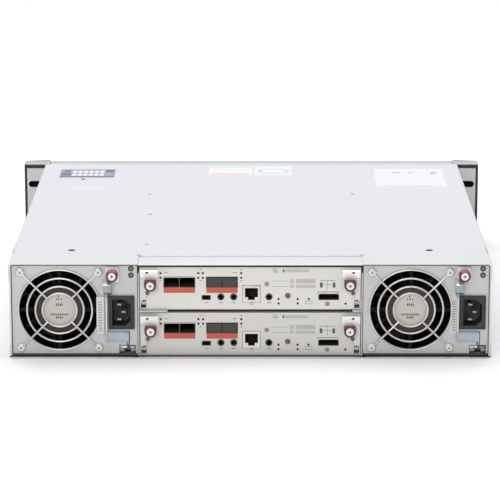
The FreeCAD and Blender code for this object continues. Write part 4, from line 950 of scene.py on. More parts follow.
def islands(piece: bpy.types.Object) -> list[list[int]]:
    """The faces of each separate shell of a mesh.

    Args:
        piece: The piece.

    Returns:
        One list of face numbers for each shell.
    """
    mesh = piece.data
    parent = list(range(len(mesh.vertices)))

    def root(i: int) -> int:
        """Follows a vertex to the one that stands for its shell.

        Args:
            i: The vertex's number.

        Returns:
            The number of the vertex that stands for the shell.
        """
        while parent[i] != i:
            parent[i] = parent[parent[i]]
            i = parent[i]
        return i

    for edge in mesh.edges:
        a, b = (root(i) for i in edge.vertices)
        parent[a] = b
    shells: dict[int, list[int]] = {}
    for face in mesh.polygons:
        shells.setdefault(root(face.vertices[0]), []).append(face.index)
    return list(shells.values())


def dress(piece: bpy.types.Object, body: str, finish: Finish, *replaced: str) -> bpy.types.Object:
    """Gives a new piece its finish and body, and hides the nodes that it stands for.

    Args:
        piece: The piece.
        body: The body that it rides on.
        finish: Its finish.
        replaced: The nodes that it replaces.

    Returns:
        The same piece.
    """
    if not piece.data.materials:
        piece.data.materials.append(finish.material())
    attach(piece, body)
    if replaced:
        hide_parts(*replaced)
    log.info("%s rides on %s", piece.name, body)
    return piece


def stain(piece: bpy.types.Object, finish: Finish, axis: Spot, reach: float, depth: Span) -> None:
    """Gives a screw its finish, and the walls of its recess a darker one, as painted shade.

    Args:
        piece: The screw, its head towards -Y.
        finish: The screw's finish.
        axis: The X and Z of the screw's axis.
        reach: The recess's reach from the axis.
        depth: The recess's span on Y.
    """
    for each in (finish, Finishes.recess):
        piece.data.materials.append(each.material())
    for face in piece.data.polygons:
        centre = face.center
        far = math.hypot(centre.x - axis[0], centre.z - axis[1])
        face.material_index = int(far < reach and depth[0] < centre.y < depth[1])


def coat(node: str, finish: Finish) -> None:
    """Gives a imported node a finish.

    Args:
        node: The node.
        finish: Its finish.
    """
    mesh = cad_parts[node].data
    mesh.materials.clear()
    mesh.materials.append(finish.material())
    log.info("%s is finished in %s", node, finish.name)


# ---------------------------------------------------------------------------------------------------
# Pieces that several modules share
# ---------------------------------------------------------------------------------------------------


@dataclass
class CaptiveScrew:
    """The knurled captive screw with a cross recess, and the shield moulding behind its head."""

    recess_width: float = 0.9 * MM
    recess_reach: float = 1.45 * MM
    recess_depth: float = 1.0 * MM
    knurl_depth: float = 0.22 * MM
    knurl_gap: float = 0.04 * MM
    knurls: int = 28
    head_length: float = 6.0 * MM
    collar_share: float = 0.72
    collar_length: float = 2.0 * MM
    shank_share: float = 0.415
    soft_edge: float = 0.12 * MM
    shield_radius: float = 5.5 * MM
    shield_bore: float = 3.78 * MM
    shield_front: float = 0.8 * MM
    shield_back: float = 8.0 * MM
    shield_top: float = 4.3 * MM
    shield_crest: float = 1.0 * MM
    shield_edge: float = 0.3 * MM

    def head(self, name: str, low: Vector, high: Vector) -> bpy.types.Object:
        """Models the screw in a packed screw's box.

        Args:
            name: The piece's name.
            low: The box's lowest corner.
            high: The box's highest corner.

        Returns:
            The screw.
        """
        x, z = (low.x + high.x) / 2, (low.z + high.z) / 2
        radius = (high.x - low.x) / 2
        neck = low.y + self.head_length
        turns = 2 * self.knurls
        head = Bench.drum(f"{name}_head", (x, low.y + self.head_length / 2, z),
                          radius - self.knurl_depth, self.head_length, corners=turns)
        phase = math.pi / turns

        def is_knurl(centre: Vector, normal: Vector) -> bool:
            """Yes to every second face round the head."""
            angle = math.atan2(centre.z - z, centre.x - x)
            return abs(normal.y) < 0.5 and round((angle + phase) / (2 * phase)) % 2 == 0

        Bench.pick_faces(head, is_knurl)
        bpy.ops.mesh.inset(thickness=self.knurl_gap, depth=self.knurl_depth, use_individual=True)
        Bench.done()
        Bench.cross(head, (x, z), self.recess_reach, self.recess_width / 2,
                    (low.y - self.recess_depth, low.y + self.recess_depth))
        collar = Bench.drum(f"{name}_collar", (x, neck + self.collar_length / 2, z),
                            radius * self.collar_share, self.collar_length)
        shank = Bench.drum(f"{name}_shank", (x, (neck + high.y) / 2, z),
                           radius * self.shank_share, high.y - neck, corners=24)
        screw = Bench.join(name, [Bench.soften(piece, self.soft_edge)
                                  for piece in (head, collar, shank)])
        # The recess walls take painted shade.
        stain(screw, Finishes.screw, (x, z), self.recess_reach + 0.1 * MM,
              (low.y + 0.15 * MM, low.y + self.recess_depth + 0.1 * MM))
        return screw

    def shield(self, name: str, low: Vector, high: Vector, flat: bool) -> bpy.types.Object:
        """Models the moulding round a head, a thick ring that may be flat on top.

        Args:
            name: The piece's name.
            low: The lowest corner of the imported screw's box.
            high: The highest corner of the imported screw's box.
            flat: Whether its sides run straight up to a flat top.

        Returns:
            The shield.
        """
        x, z = (low.x + high.x) / 2, (low.z + high.z) / 2
        front, back = low.y + self.shield_front, low.y + self.shield_back
        ring = Bench.drum(name, (x, (front + back) / 2, z), self.shield_radius, back - front,
                          corners=48)
        if flat:
            Bench.pick_faces(ring, lambda *_: True)
            bpy.ops.mesh.bisect(plane_co=(x, back, z), plane_no=(0, 0, 1), use_fill=True,
                                clear_outer=True)
            Bench.done()
            Bench.pick_faces(ring, lambda _, normal: normal.z > 0.9)
            rise = {"value": (0, 0, self.shield_top)}
            bpy.ops.mesh.extrude_region_move(TRANSFORM_OT_translate=rise)
            Bench.done()
            crest = z + self.shield_top - 0.1 * MM
            Bench.pick_edges(ring, lambda middle, way: abs(way.y) > 0.99 and middle.z > crest)
            bpy.ops.mesh.bevel(offset=self.shield_crest, segments=3, affect="EDGES")
            Bench.done()
        hole = Bench.drum("hole", (x, back, z), self.shield_bore, (back - front) * 4, corners=48)
        return Bench.soften(Bench.carve(ring, hole), self.shield_edge)


@dataclass
class PanScrew:
    """A small pan-head screw with a cross recess, seen end on from the rear or from above."""

    radius: float
    height: float
    finish: Finish
    dome_share: float = 0.45
    reach_share: float = 0.36
    slot_share: float = 0.1

    def model(self, name: str) -> bpy.types.Object:
        """Models one screw at the origin, its head towards -Y.

        Args:
            name: The piece's name.

        Returns:
            The screw.
        """
        head = Bench.drum(name, (0, -self.height / 2, 0), self.radius, self.height, corners=40)
        Bench.pick_faces(head, lambda _, normal: normal.y < -0.9)
        bpy.ops.mesh.bevel(offset=self.height * self.dome_share, segments=4, affect="EDGES")
        Bench.done()
        reach = self.radius * self.reach_share
        Bench.cross(head, (0.0, 0.0), reach, self.radius * self.slot_share,
                    (-self.height * 1.5, -self.height * 0.45))
        Bench.hold(head)
        bpy.ops.object.shade_smooth_by_angle(angle=math.radians(SHARP))
        # The recess walls take painted shade.
        stain(head, self.finish, (0.0, 0.0), reach + 0.05 * MM,
              (-self.height * 0.96, -self.height * 0.4))
        return head


@dataclass
class Print:
    """Flat printed bars on a sheet that faces -Y or +Z, all of one ink, joined as one piece."""

    sheet: float = 0.06 * MM

    def on_rear(self, name: str, y: float, bars: Sequence[Bar]) -> bpy.types.Object:
        """Bars on a face that looks to the rear.

        Args:
            name: The piece's name.
            y: The face that they are printed on.
            bars: Each bar's span on X and on Z.

        Returns:
            The bars.
        """
        master = self._bar(name)
        places = [(sum(x) / 2, y - self.sheet / 2, sum(z) / 2) for x, z in bars]
        sizes = [(x[1] - x[0], self.sheet, z[1] - z[0]) for x, z in bars]
        return Bench.scatter(name, master, places, sizes)

    def on_top(self, name: str, z: float, bars: Sequence[Bar]) -> bpy.types.Object:
        """Bars on a face that looks up.

        Args:
            name: The piece's name.
            z: The face that they are printed on.
            bars: Each bar's span on X and on Y.

        Returns:
            The bars.
        """
        master = self._bar(name)
        places = [(sum(x) / 2, sum(y) / 2, z + self.sheet / 2) for x, y in bars]
        sizes = [(x[1] - x[0], y[1] - y[0], self.sheet) for x, y in bars]
        return Bench.scatter(name, master, places, sizes)

    def _bar(self, name: str) -> bpy.types.Object:
        """A block of size 1 at the origin, its edges along Y cut a little.

        Args:
            name: The name of the piece that it is for.

        Returns:
            The block.
        """
        half = (-0.5, 0.5)
        bar = Bench.block(f"{name}_bar", half, half, half)
        return Bench.round_along(bar, (0, 1, 0), 0.06, 1)


def bar_rows(x: Span, z: Span, rows: int, gap: float, breaks: Sequence[float]) -> list[Bar]:
    """Rows of short printed bars that stand for lines of print.

    Args:
        x: The rows' span.
        z: The span that holds all the rows.
        rows: The number of rows.
        gap: The share of a row's height that stays blank.
        breaks: The shares of the width at which a row breaks, taken in turn.

    Returns:
        Each bar's span on X and on Z.
    """
    made = []
    step = (z[1] - z[0]) / rows
    width = x[1] - x[0]
    for row in range(rows):
        low = z[0] + step * row
        share = breaks[row % len(breaks)]
        made.append(((x[0], x[0] + width * share), (low, low + step * (1 - gap))))
        if share < 0.75:
            start = x[0] + width * (share + 0.06)
            made.append(((start, x[1] - width * 0.05), (low, low + step * (1 - gap))))
    return made


# ---------------------------------------------------------------------------------------------------
# Enclosure
# ---------------------------------------------------------------------------------------------------


@dataclass
class Enclosure:
    """The folded shell, its ear caps and bays, and what is stuck or screwed to its top.

    Places on the cover are in millimetres, X from the centre line and depth from the rear edge.
    """

    body: str = "enclosure"
    label_sheet: float = 0.12 * MM
    label_round: float = 1.2 * MM
    tab_cut: Span = (75.8 * MM, 93.8 * MM)
    tab_rear: float = 7.1 * MM
    tab_height: Span = (43.0 * MM, 45.0 * MM)
    ring_place: Spot = (23.2, 413.0)
    ring_radius: float = 15.0 * MM
    ring_width: float = 1.8 * MM
    ring_shape: Point = (1.0, 0.8, 0.06)
    screw: PanScrew = field(default_factory=lambda: PanScrew(2.1 * MM, 0.5 * MM, Finishes.flush))
    screw_places: tuple[Spot, ...] = (
        (-103.8, 299.3), (103.8, 299.3), (-99.6, 206.6), (103.2, 35.5), (-103.2, 35.5),
        (-97.5, 79.0))
    hole_place: Spot = (-176.0, 373.4)
    hole_radius: float = 2.4 * MM

    def __post_init__(self) -> None:
        """Reads the cover's rear edge and top from the frame."""
        low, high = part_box("top_cover")
        self.rear, self.top = low.y, high.z

    def build(self) -> None:
        """Finishes the shell's nodes and adds the pieces on its top."""
        coat("top_cover", Finishes.cover)
        for node in ("chassis_tray", "drive_cage"):
            coat(node, Finishes.chassis)
        coat("drive_guides", Finishes.guide)
        coat("midplane_board", Finishes.board)
        for side in Side:
            coat(f"ear_cap_{side.word}", Finishes.cap)
        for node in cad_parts:
            if node.startswith("drive_blank_"):
                coat(node, Finishes.blank)
        self._bay()
        self._labels()
        self._screws()

    def _bay(self) -> None:
        """The frame round the controllers, with the right tab of its shelf cut narrow."""
        piece = Bench.skin("bay_frame", "controller_bay", 0.1 * MM)
        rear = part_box("bay_frame")[0].y
        cutter = Bench.block("tab_cut", self.tab_cut, (rear - MM, rear + self.tab_rear),
                             self.tab_height)
        dress(Bench.carve(piece, cutter), self.body, Finishes.bay, "bay_frame")

    def _plate(self, name: str, x: Span, depth: Span, finish: Finish,
               lift: float = 0.0) -> bpy.types.Object:
        """A label on the cover, its corners rounded.

        Args:
            name: The piece's name.
            x: Its span on X, in millimetres.
            depth: Its span from the rear edge, in millimetres.
            finish: Its finish.
            lift: How far it lies above the cover.

        Returns:
            The label.
        """
        low = self.top + lift
        plate = Bench.block(name, (x[0] * MM, x[1] * MM),
                            (self.rear + depth[0] * MM, self.rear + depth[1] * MM),
                            (low, low + self.label_sheet))
        Bench.round_along(plate, (0, 0, 1), self.label_round)
        return dress(plate, self.body, finish)

    def _bars(self, name: str, finish: Finish, spans: Sequence[Bar], lift: float) -> None:
        """Printed bars on the cover.

        Args:
            name: The piece's name.
            finish: Their finish.
            spans: Each bar's span on X and from the rear edge, in millimetres.
            lift: How far they lie above the cover.
        """
        bars = [((x[0] * MM, x[1] * MM), (self.rear + d[0] * MM, self.rear + d[1] * MM))
                for x, d in spans]
        dress(Print().on_top(name, self.top + lift, bars), self.body, finish)

    def _labels(self) -> None:
        """The five labels on the cover, the larger ones with plain bars, a band or a ring."""
        lift = self.label_sheet
        self._plate("cover_label_violet", (-202, -144), (382, 423), Finishes.violet)
        self._plate("cover_label_faint", (-188, -153), (322, 340), Finishes.faint)
        self._plate("cover_label_white", (130, 203), (332, 425), Finishes.paper)
        self._plate("cover_label_banded", (-45, 1), (392, 433), Finishes.paper)
        self._plate("cover_label_ringed", (3.5, 43), (392, 436), Finishes.paper)
        self._plate("cover_label_band", (-42, -2), (394, 402), Finishes.salmon, lift)
        panels = [((-189 + 5.8 * i, -184.5 + 5.8 * i), (390 + 15 * row, 401 + 15 * row))
                  for i in range(6) for row in range(2)]
        self._bars("cover_label_violet_marks", Finishes.paper, panels, lift)
        edges = [((-201, -145), (382.6, 388)), ((-200, -191), (392, 404)),
                 ((-154, -146), (408, 420)), ((-198, -192), (409, 418))]
        self._bars("cover_label_violet_edges", Finishes.deep_violet, edges, lift)
        lines = [((150, 158), (404, 406.5)), ((166, 171), (404, 406.5)), ((190, 196), (404, 407)),
                 ((189, 195), (398, 400)), ((134, 199), (338, 339.2))]
        self._bars("cover_label_white_marks", Finishes.faint_ink, lines, lift)
        ring = Bench.hoop("cover_label_ring", (0, 0, 0), self.ring_radius, self.ring_width,
                          axis=Axis.Z)
        x, depth = self.ring_place
        at = Matrix.Translation((x * MM, self.rear + depth * MM, self.top + lift))
        ring.data.transform(at @ Matrix.Diagonal((*self.ring_shape, 1.0)))
        dress(ring, self.body, Finishes.cyan)

    def _screws(self) -> None:
        """The flush screws in the cover, and the small dished hole beside the violet label."""
        master = self.screw.model("cover_screw_master")
        master.data.transform(Matrix.Rotation(-math.pi / 2, 4, "X"))
        places = [(x * MM, self.rear + depth * MM, self.top) for x, depth in self.screw_places]
        dress(Bench.scatter("cover_screws", master, places), self.body, Finishes.flush)
        x, depth = self.hole_place
        # Painted shade: a shallow dish in the dark finish stands for the shade inside the hole.
        hole = Bench.dish("cover_small_hole", (x * MM, self.rear + depth * MM, self.top),
                          self.hole_radius, 0.4 * MM, 0.06 * MM, Axis.Z)
        dress(hole, self.body, Finishes.dark)


# ---------------------------------------------------------------------------------------------------
# Power supplies
# ---------------------------------------------------------------------------------------------------


@dataclass
class WireGuard:
    """The chromed wire guard over a fan: four rings, four eyelets and four spokes."""

    wire: float = 0.92 * MM
    radii: tuple[float, ...] = (15.7 * MM, 22.2 * MM, 29.9 * MM, 38.0 * MM)
    screw_pitch: float = 71.5 * MM
    eyelet_radius: float = 3.2 * MM
    bend: float = 5.0 * MM

    def model(self, name: str, low: Vector, high: Vector) -> bpy.types.Object:
        """Models the guard in a packed guard's box.

        Args:
            name: The piece's name.
            low: The box's lowest corner.
            high: The box's highest corner.

        Returns:
            The guard.
        """
        x, z = (low.x + high.x) / 2, (low.z + high.z) / 2
        ring_y = high.y - self.wire
        spoke_y = low.y + self.wire
        pieces = [Bench.hoop(f"{name}_ring_{i}", (x, ring_y, z), radius, self.wire, 96)
                  for i, radius in enumerate(self.radii)]
        half = self.screw_pitch / 2
        for i, (sx, sz) in enumerate(((-1, -1), (-1, 1), (1, -1), (1, 1))):
            eyelet = (x + sx * half, ring_y, z + sz * half)
            pieces.append(Bench.hoop(f"{name}_eyelet_{i}", eyelet, self.eyelet_radius, self.wire, 32))
            pieces.append(self._spoke(f"{name}_spoke_{i}", (x, spoke_y, z), (sx, sz), ring_y))
        return Bench.join(name, pieces)

    def _spoke(self, name: str, centre: Point, way: Spot, ring_y: float) -> bpy.types.Object:
        """A spoke from the inner ring to an eyelet, bent down to the eyelet's plane at its end.

        Args:
            name: The piece's name.
            centre: The guard's centre, in the spokes' plane.
            way: The signs of X and Z of its direction.
            ring_y: The plane of the rings and eyelets.

        Returns:
            The spoke.
        """
        out = Vector((way[0], 0, way[1])).normalized()
        reach = self.screw_pitch * math.sqrt(0.5) - self.eyelet_radius
        start = self.radii[0] - self.wire
        length = reach - self.bend - start
        middle = Vector(centre) + out * (start + length / 2)
        Bench.clear()
        turn = Vector((0, 0, 1)).rotation_difference(out).to_euler()
        bpy.ops.mesh.primitive_cylinder_add(vertices=16, radius=self.wire, depth=length,
                                            location=middle, rotation=turn)
        spoke = Bench.settle(name)
        tip = Vector(centre) + out * (reach - self.bend)
        Bench.pick_faces(spoke, lambda c, n: n.dot(out) > 0.9 and (c - tip).length < 0.5 * MM)
        drop = ring_y - centre[1]
        for share, move in ((0.5, 0.85), (0.5, 0.15)):
            step = out * self.bend * share + Vector((0, drop * move, 0))
            bpy.ops.mesh.extrude_region_move(TRANSFORM_OT_translate={"value": tuple(step)})
        Bench.done()
        return Bench.soften(spoke, 0.25 * MM, 2, 50.0)


@dataclass
class PowerSupply:
    """One power supply: its panel's fan, inlet, handle, lamps and label.

    Each row of bars on the hub's sticker has its height above the fan's centre, its width and the bars'
    height, in millimetres. The label's margins are at its sides and at its ends.
    """

    side: Side
    sticker_radius: float = 16.5 * MM
    sticker_sheet: float = 0.25 * MM
    hub_rows: tuple[tuple[float, float, float], ...] = (
        (11.5, 3.0, 1.8), (9.0, 6.5, 1.6), (3.5, 7.0, 2.4), (-5.5, 17.0, 1.8), (-8.6, 7.0, 2.2))
    hub_pitch: float = 1.7
    hub_bar: float = 1.1 * MM
    motor_ring: float = 22.6 * MM
    lamp_radius: float = 1.9 * MM
    lamp_wire: float = 0.75 * MM
    lamp_from_right: float = 5.6 * MM
    lamp_heights: Span = (75.8 * MM, 81.9 * MM)
    label_x: dict[Side, Span] = field(
        default_factory=lambda: {Side.LEFT: (77.6 * MM, 84.6 * MM),
                                 Side.RIGHT: (80.4 * MM, 86.8 * MM)})
    label_z: Span = (20.5 * MM, 56.0 * MM)
    label_margin: Spot = (1.6 * MM, 3.0 * MM)
    label_proud: dict[Side, float] = field(
        default_factory=lambda: {Side.LEFT: 2.9 * MM, Side.RIGHT: 0.2 * MM})

    def __post_init__(self) -> None:
        """Works out the supply's names, and reads its case's box from the frame."""
        self.name = f"psu_{self.side.word}"
        self.body = f"{self.side.word}_supply"
        low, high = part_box(f"{self.name}_case")
        self.left, self.right, self.base, self.face = low.x, high.x, low.z, low.y

    def build(self) -> None:
        """Finishes the supply's nodes and adds its pieces."""
        coat(f"{self.name}_case", Finishes.supply)
        self._housing()
        coat(f"{self.name}_fan_rotor", Finishes.rotor)
        self._guard()
        self._hub()
        self._inlet()
        self._handle()
        self._lamps()
        self._label()

    def _housing(self) -> None:
        """The fan housing, black but for the brownish ring round its motor."""
        low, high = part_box(f"{self.name}_fan_housing")
        centre = ((low.x + high.x) / 2, 0.0, (low.z + high.z) / 2)
        coat(f"{self.name}_fan_housing",
             MouldedFinish(f"fan_black_{self.side.word}", "black_plastic", tint(14, 13, 12), 0.6,
                           zones=(Disc(tint(70, 65, 62), centre, self.motor_ring),), shine=0.12))

    def _guard(self) -> None:
        """The wire guard and the four screws that hold it."""
        low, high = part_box(f"{self.name}_finger_guard")
        guard = WireGuard()
        dress(guard.model(f"{self.name}_wire_guard", low, high), self.body, Finishes.wire,
              f"{self.name}_finger_guard")
        x, z, half = (low.x + high.x) / 2, (low.z + high.z) / 2, guard.screw_pitch / 2
        places = [(x + sx * half, low.y + 0.9 * MM, z + sz * half)
                  for sx in (-1, 1) for sz in (-1, 1)]
        master = PanScrew(3.3 * MM, 1.1 * MM, Finishes.pan).model(f"{self.name}_screw_master")
        dress(Bench.scatter(f"{self.name}_guard_screws", master, places), self.body, Finishes.pan)

    def _hub(self) -> None:
        """The round sticker on the motor's cup, with rows of short bars printed on it."""
        low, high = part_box(f"{self.name}_fan_housing")
        x, z = (low.x + high.x) / 2, (low.z + high.z) / 2
        sheet = self.sticker_sheet
        disc = Bench.drum(f"{self.name}_hub_sticker", (x, low.y - sheet / 2, z),
                          self.sticker_radius, sheet, corners=64)
        dress(Bench.soften(disc, 0.1 * MM), self.body, Finishes.sticker)
        face = low.y - sheet
        bars = []
        for row, width, height in self.hub_rows:
            count = int(width // self.hub_pitch)
            for i in range(count):
                start = x + (-width / 2 + i * width / count) * MM
                bars.append(((start, start + self.hub_bar),
                             (z + row * MM, z + (row + height) * MM)))
        dress(Print().on_rear(f"{self.name}_hub_marks", face, bars), self.body, Finishes.ink)

    def _inlet(self) -> None:
        """The mains inlet, softened, with plated pins."""
        node = f"{self.name}_inlet"
        piece = Bench.skin(node, f"{self.name}_mains_inlet", 0.35 * MM)
        for finish in (Finishes.black, Finishes.pin):
            piece.data.materials.append(finish.material())
        shells = sorted(islands(piece), key=len)
        largest = max(shells, key=lambda shell: self._spread(piece, shell))
        for shell in shells:
            for index in shell:
                piece.data.polygons[index].material_index = 0 if shell is largest else 1
        dress(piece, self.body, Finishes.black, node)

    @staticmethod
    def _spread(piece: bpy.types.Object, shell: list[int]) -> float:
        """How wide the faces of one shell of a piece lie apart on X."""
        across = [piece.data.polygons[index].center.x for index in shell]
        return max(across) - min(across)

    def _handle(self) -> None:
        """The bent handle, its screw, and the shield behind the screw."""
        dress(Bench.skin(f"{self.name}_handle", f"{self.name}_lever", 0.3 * MM),
              f"{self.body}_handle", Finishes.lever, f"{self.name}_handle")
        low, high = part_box(f"{self.name}_thumbscrew")
        screw = CaptiveScrew()
        dress(screw.head(f"{self.name}_knurled_screw", low, high), f"{self.body}_screw",
              Finishes.screw, f"{self.name}_thumbscrew")
        dress(screw.shield(f"{self.name}_shield", low, high, False), f"{self.body}_handle",
              Finishes.shield)

    def _lamps(self) -> None:
        """The two lamps: a dark bezel round a lens with a raised middle."""
        x = self.right - self.lamp_from_right
        places = [(x, self.face, self.base + height) for height in self.lamp_heights]
        bezel = Bench.hoop("bezel", (0, 0, 0), self.lamp_radius, self.lamp_wire, 32)
        dress(Bench.scatter(f"{self.name}_lamp_bezels", bezel, places), self.body, Finishes.bezel)
        lens = Bench.drum("lens", (0, 0, 0), self.lamp_radius, 0.9 * MM, corners=32)
        Bench.pick_faces(lens, lambda _, normal: normal.y < -0.9)
        bpy.ops.mesh.inset(thickness=self.lamp_radius * 0.45, depth=0.35 * MM)
        Bench.done()
        lens = Bench.soften(lens, 0.2 * MM)
        dress(Bench.scatter(f"{self.name}_lamp_lenses", lens, places), self.body, Finishes.lamp)

    def _label(self) -> None:
        """The tall label between fan and inlet, with rows of plain bars."""
        x = tuple(self.left + reach for reach in self.label_x[self.side])
        z = (self.base + self.label_z[0], self.base + self.label_z[1])
        face = self.face - self.label_proud[self.side]
        plate = Bench.block(f"{self.name}_label", x, (face, self.face), z)
        Bench.round_along(plate, (0, 1, 0), 0.8 * MM)
        dress(plate, self.body, Finishes.grey_label)
        aside, down = self.label_margin
        bars = bar_rows((x[0] + aside, x[1] - aside), (z[0] + down, z[1] - down), 12, 0.6,
                        (1.0, 0.55, 0.85, 0.4))
        dress(Print().on_rear(f"{self.name}_label_marks", face, bars), self.body,
              Finishes.faint_ink)


# ---------------------------------------------------------------------------------------------------
# Controllers
# ---------------------------------------------------------------------------------------------------


@dataclass
class Controller:
    """One controller: its panel's ports, latches, screws, lamps and printed marks.

    Places on the panel are in millimetres, X from the panel's middle and Z from its lowest edge. The
    shells of the board's node are told apart by size: a cage's depth lies between two limits, a plug
    stands furthest out of the panel, the network jack is wider than the barrels and the small port, and
    the expansion socket is wider still.
    """

    level: Level
    shortest_cage: float = 40.0 * MM
    longest_cage: float = 60.0 * MM
    least_plug: float = 0.8 * MM
    widest_barrel: float = 8.0 * MM
    narrowest_socket: float = 17.0 * MM
    strips: tuple[Span, ...] = ((-79.3, -50.7), (-40.2, -11.6))
    strip_z: Span = (15.7, 20.8)
    lamp_holes: tuple[Spot, ...] = (
        (-82.2, 34.2), (-82.2, 29.8), (-47.6, 34.2), (-47.6, 29.8), (-43.4, 34.2), (-43.4, 29.8),
        (-8.3, 34.2), (-8.3, 29.8), (26.0, 9.8), (26.0, 5.5), (43.6, 9.8), (43.6, 5.5),
        (53.7, 9.8), (87.5, 5.3), (-98.5, 8.4), (98.5, 8.4))
    lamp_hole_radius: float = 1.05 * MM
    rivets: tuple[Spot, ...] = ((15.1, 24.0), (70.8, 5.2))
    stud_place: Spot = (94.3, 15.9)
    tab_hole_x: float = 94.4
    tab_reach: float = 6.0 * MM
    tab_rise: float = 8.1 * MM
    tab_hole_share: float = 0.2
    tab_hole_radius: float = 1.3 * MM
    hole_rim: float = 0.2 * MM
    hole_floor: float = 0.08 * MM
    jacks: tuple[float, ...] = (-27.0, -15.2, 17.2)
    jack_height: float = 11.8
    jack_radius: float = 3.1 * MM
    jack_bore: float = 1.9 * MM

    def __post_init__(self) -> None:
        """Works out the controller's names, and reads its case's box from the frame."""
        self.name = f"controller_{self.level.word}"
        self.body = f"{self.level.word}_controller"
        low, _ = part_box(f"{self.name}_case")
        self.base, self.face = low.z, low.y

    def build(self) -> None:
        """Finishes the controller's nodes and adds its pieces."""
        coat(f"{self.name}_case", Finishes.controller[self.level])
        coat(f"{self.name}_button", Finishes.button)
        self._ports()
        self._latches()
        self._strips()
        self._lamps()
        self._marks()

    def at(self, x: float, z: float, proud: float = 0.0) -> Point:
        """A point on the panel.

        Args:
            x: Millimetres from the middle.
            z: Millimetres from the lowest edge.
            proud: How far it stands out of the panel, in metres.

        Returns:
            The point in metres.
        """
        return (x * MM, self.face - proud, self.base + z * MM)

    def _cage(self, top: float) -> Finish:
        """The finish of the open cages: dark, with a light top edge and a grey divider.

        Args:
            top: The height of the cages' top.

        Returns:
            The finish.
        """
        front = below(self.face + 0.5 * MM)
        divider = sum(self.strips[0]) / 2 * MM
        light, grey = tint(196, 190, 184), tint(104, 100, 97)
        zones = (Zone(grey, (divider - 0.7 * MM, divider + 0.7 * MM), front),
                 Zone(light, below(self.strips[0][1] * MM), front, above(top - 0.8 * MM)))
        return MouldedFinish(f"cage_{self.level.word}", "circuit_board", tint(52, 50, 48), 0.5,
                             zones=zones)

    def _ports(self) -> None:
        """The boards and connectors, each shell in its own finish and its inside dark."""
        node = f"{self.name}_board"
        piece = Bench.skin(node, f"{self.name}_ports", 0.12 * MM)
        mesh = piece.data
        shells = []
        for shell in islands(piece):
            centres = [mesh.polygons[index].center for index in shell]
            low = Vector([min(c[i] for c in centres) for i in range(3)])
            high = Vector([max(c[i] for c in centres) for i in range(3)])
            shells.append((shell, low, high - low))
        cages = [low.z + size.z for _, low, size in shells
                 if self.shortest_cage < size.y < self.longest_cage]
        cage = self._cage(max(cages))
        finishes = (Finishes.board, Finishes.port, Finishes.dark, Finishes.plug, cage,
                    Finishes.slot_inside, Finishes.socket)
        for finish in finishes:
            mesh.materials.append(finish.material())
        lip = self.face + 0.1 * MM
        for shell, low, size in shells:
            front, inside = self._shell_finishes(low, size, cage)
            for index in shell:
                face = mesh.polygons[index]
                face.material_index = finishes.index(front if face.center.y < lip else inside)
        dress(piece, self.body, Finishes.board, node)
        self._collars()

    def _shell_finishes(self, low: Vector, size: Vector, cage: Finish) -> tuple[Finish, Finish]:
        """Tells what a shell of the board's node is by its size, and how it is finished.

        Args:
            low: The shell's lowest corner.
            size: The shell's size.
            cage: The finish of the open transceiver cages.

        Returns:
            The finish of its front and of its inside.
        """
        if size.y > self.longest_cage:
            return (Finishes.board, Finishes.board)
        if size.y > self.shortest_cage:
            return (cage, Finishes.slot_inside)
        if low.y < self.face - self.least_plug:
            return (Finishes.plug, Finishes.plug)
        if size.x < self.widest_barrel:
            return (Finishes.dark, Finishes.dark)
        wide = size.x > self.narrowest_socket
        return (Finishes.socket if wide else Finishes.port, Finishes.dark)

    def _collars(self) -> None:
        """The rings round the jacks' barrels."""
        collar = Bench.drum("collar", (0, 0, 0), self.jack_radius, 0.8 * MM, corners=40)
        hole = Bench.drum("hole", (0, 0, 0), self.jack_bore, 3 * MM, corners=32)
        collar = Bench.soften(Bench.carve(collar, hole), 0.2 * MM)
        places = [self.at(x, self.jack_height, 0.5 * MM) for x in self.jacks]
        dress(Bench.scatter(f"{self.name}_jack_collars", collar, places), self.body, Finishes.bezel)

    def _latches(self) -> None:
        """The two latches with their screws, shields, studs and tab holes."""
        screw = CaptiveScrew()
        for side in Side:
            latch = f"{self.name}_latch_{side.word}"
            body = f"{self.level.word}_{side.word}_latch"
            dress(Bench.skin(latch, f"{self.name}_lever_{side.word}", 0.25 * MM), body,
                  Finishes.latch, latch)
            node = f"{self.name}_thumbscrew_{side.word}"
            low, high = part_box(node)
            dress(screw.head(f"{self.name}_knurled_screw_{side.word}", low, high),
                  f"{self.level.word}_{side.word}_screw", Finishes.screw, node)
            dress(screw.shield(f"{self.name}_shield_{side.word}", low, high, True), body,
                  Finishes.shield)
            plate = low.y + screw.shield_back
            stud = PanScrew(1.9 * MM, 0.7 * MM, Finishes.stud).model(
                f"{self.name}_stud_{side.word}")
            at = (self.stud_place[0] * MM * side.value, plate,
                  self.base + self.stud_place[1] * MM)
            stud.data.transform(Matrix.Translation(at))
            dress(stud, body, Finishes.stud)
            self._tab_hole(side, body, plate)

    def _tab_hole(self, side: Side, body: str, plate: float) -> None:
        """The small dark hole near the top of a latch's slanted tab.

        Args:
            side: The latch's side.
            body: The latch's body.
            plate: The rear face of the latch's plate.
        """
        # Painted shade: a shallow dish in the dark finish stands for the shade inside the hole.
        hole = Bench.dish(f"{self.name}_tab_hole_{side.word}", (0, -0.15 * MM, 0),
                          self.tab_hole_radius, self.hole_rim, self.hole_floor)
        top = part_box(f"{self.name}_latch_{side.word}")[1].z - 0.6 * MM
        down = self.tab_hole_share
        at = (self.tab_hole_x * MM * side.value, plate - self.tab_reach * (1 - down),
              top - self.tab_rise * down)
        lean = math.atan2(self.tab_reach, self.tab_rise)
        hole.data.transform(Matrix.Translation(at) @ Matrix.Rotation(lean, 4, "X"))
        dress(hole, body, Finishes.dark)

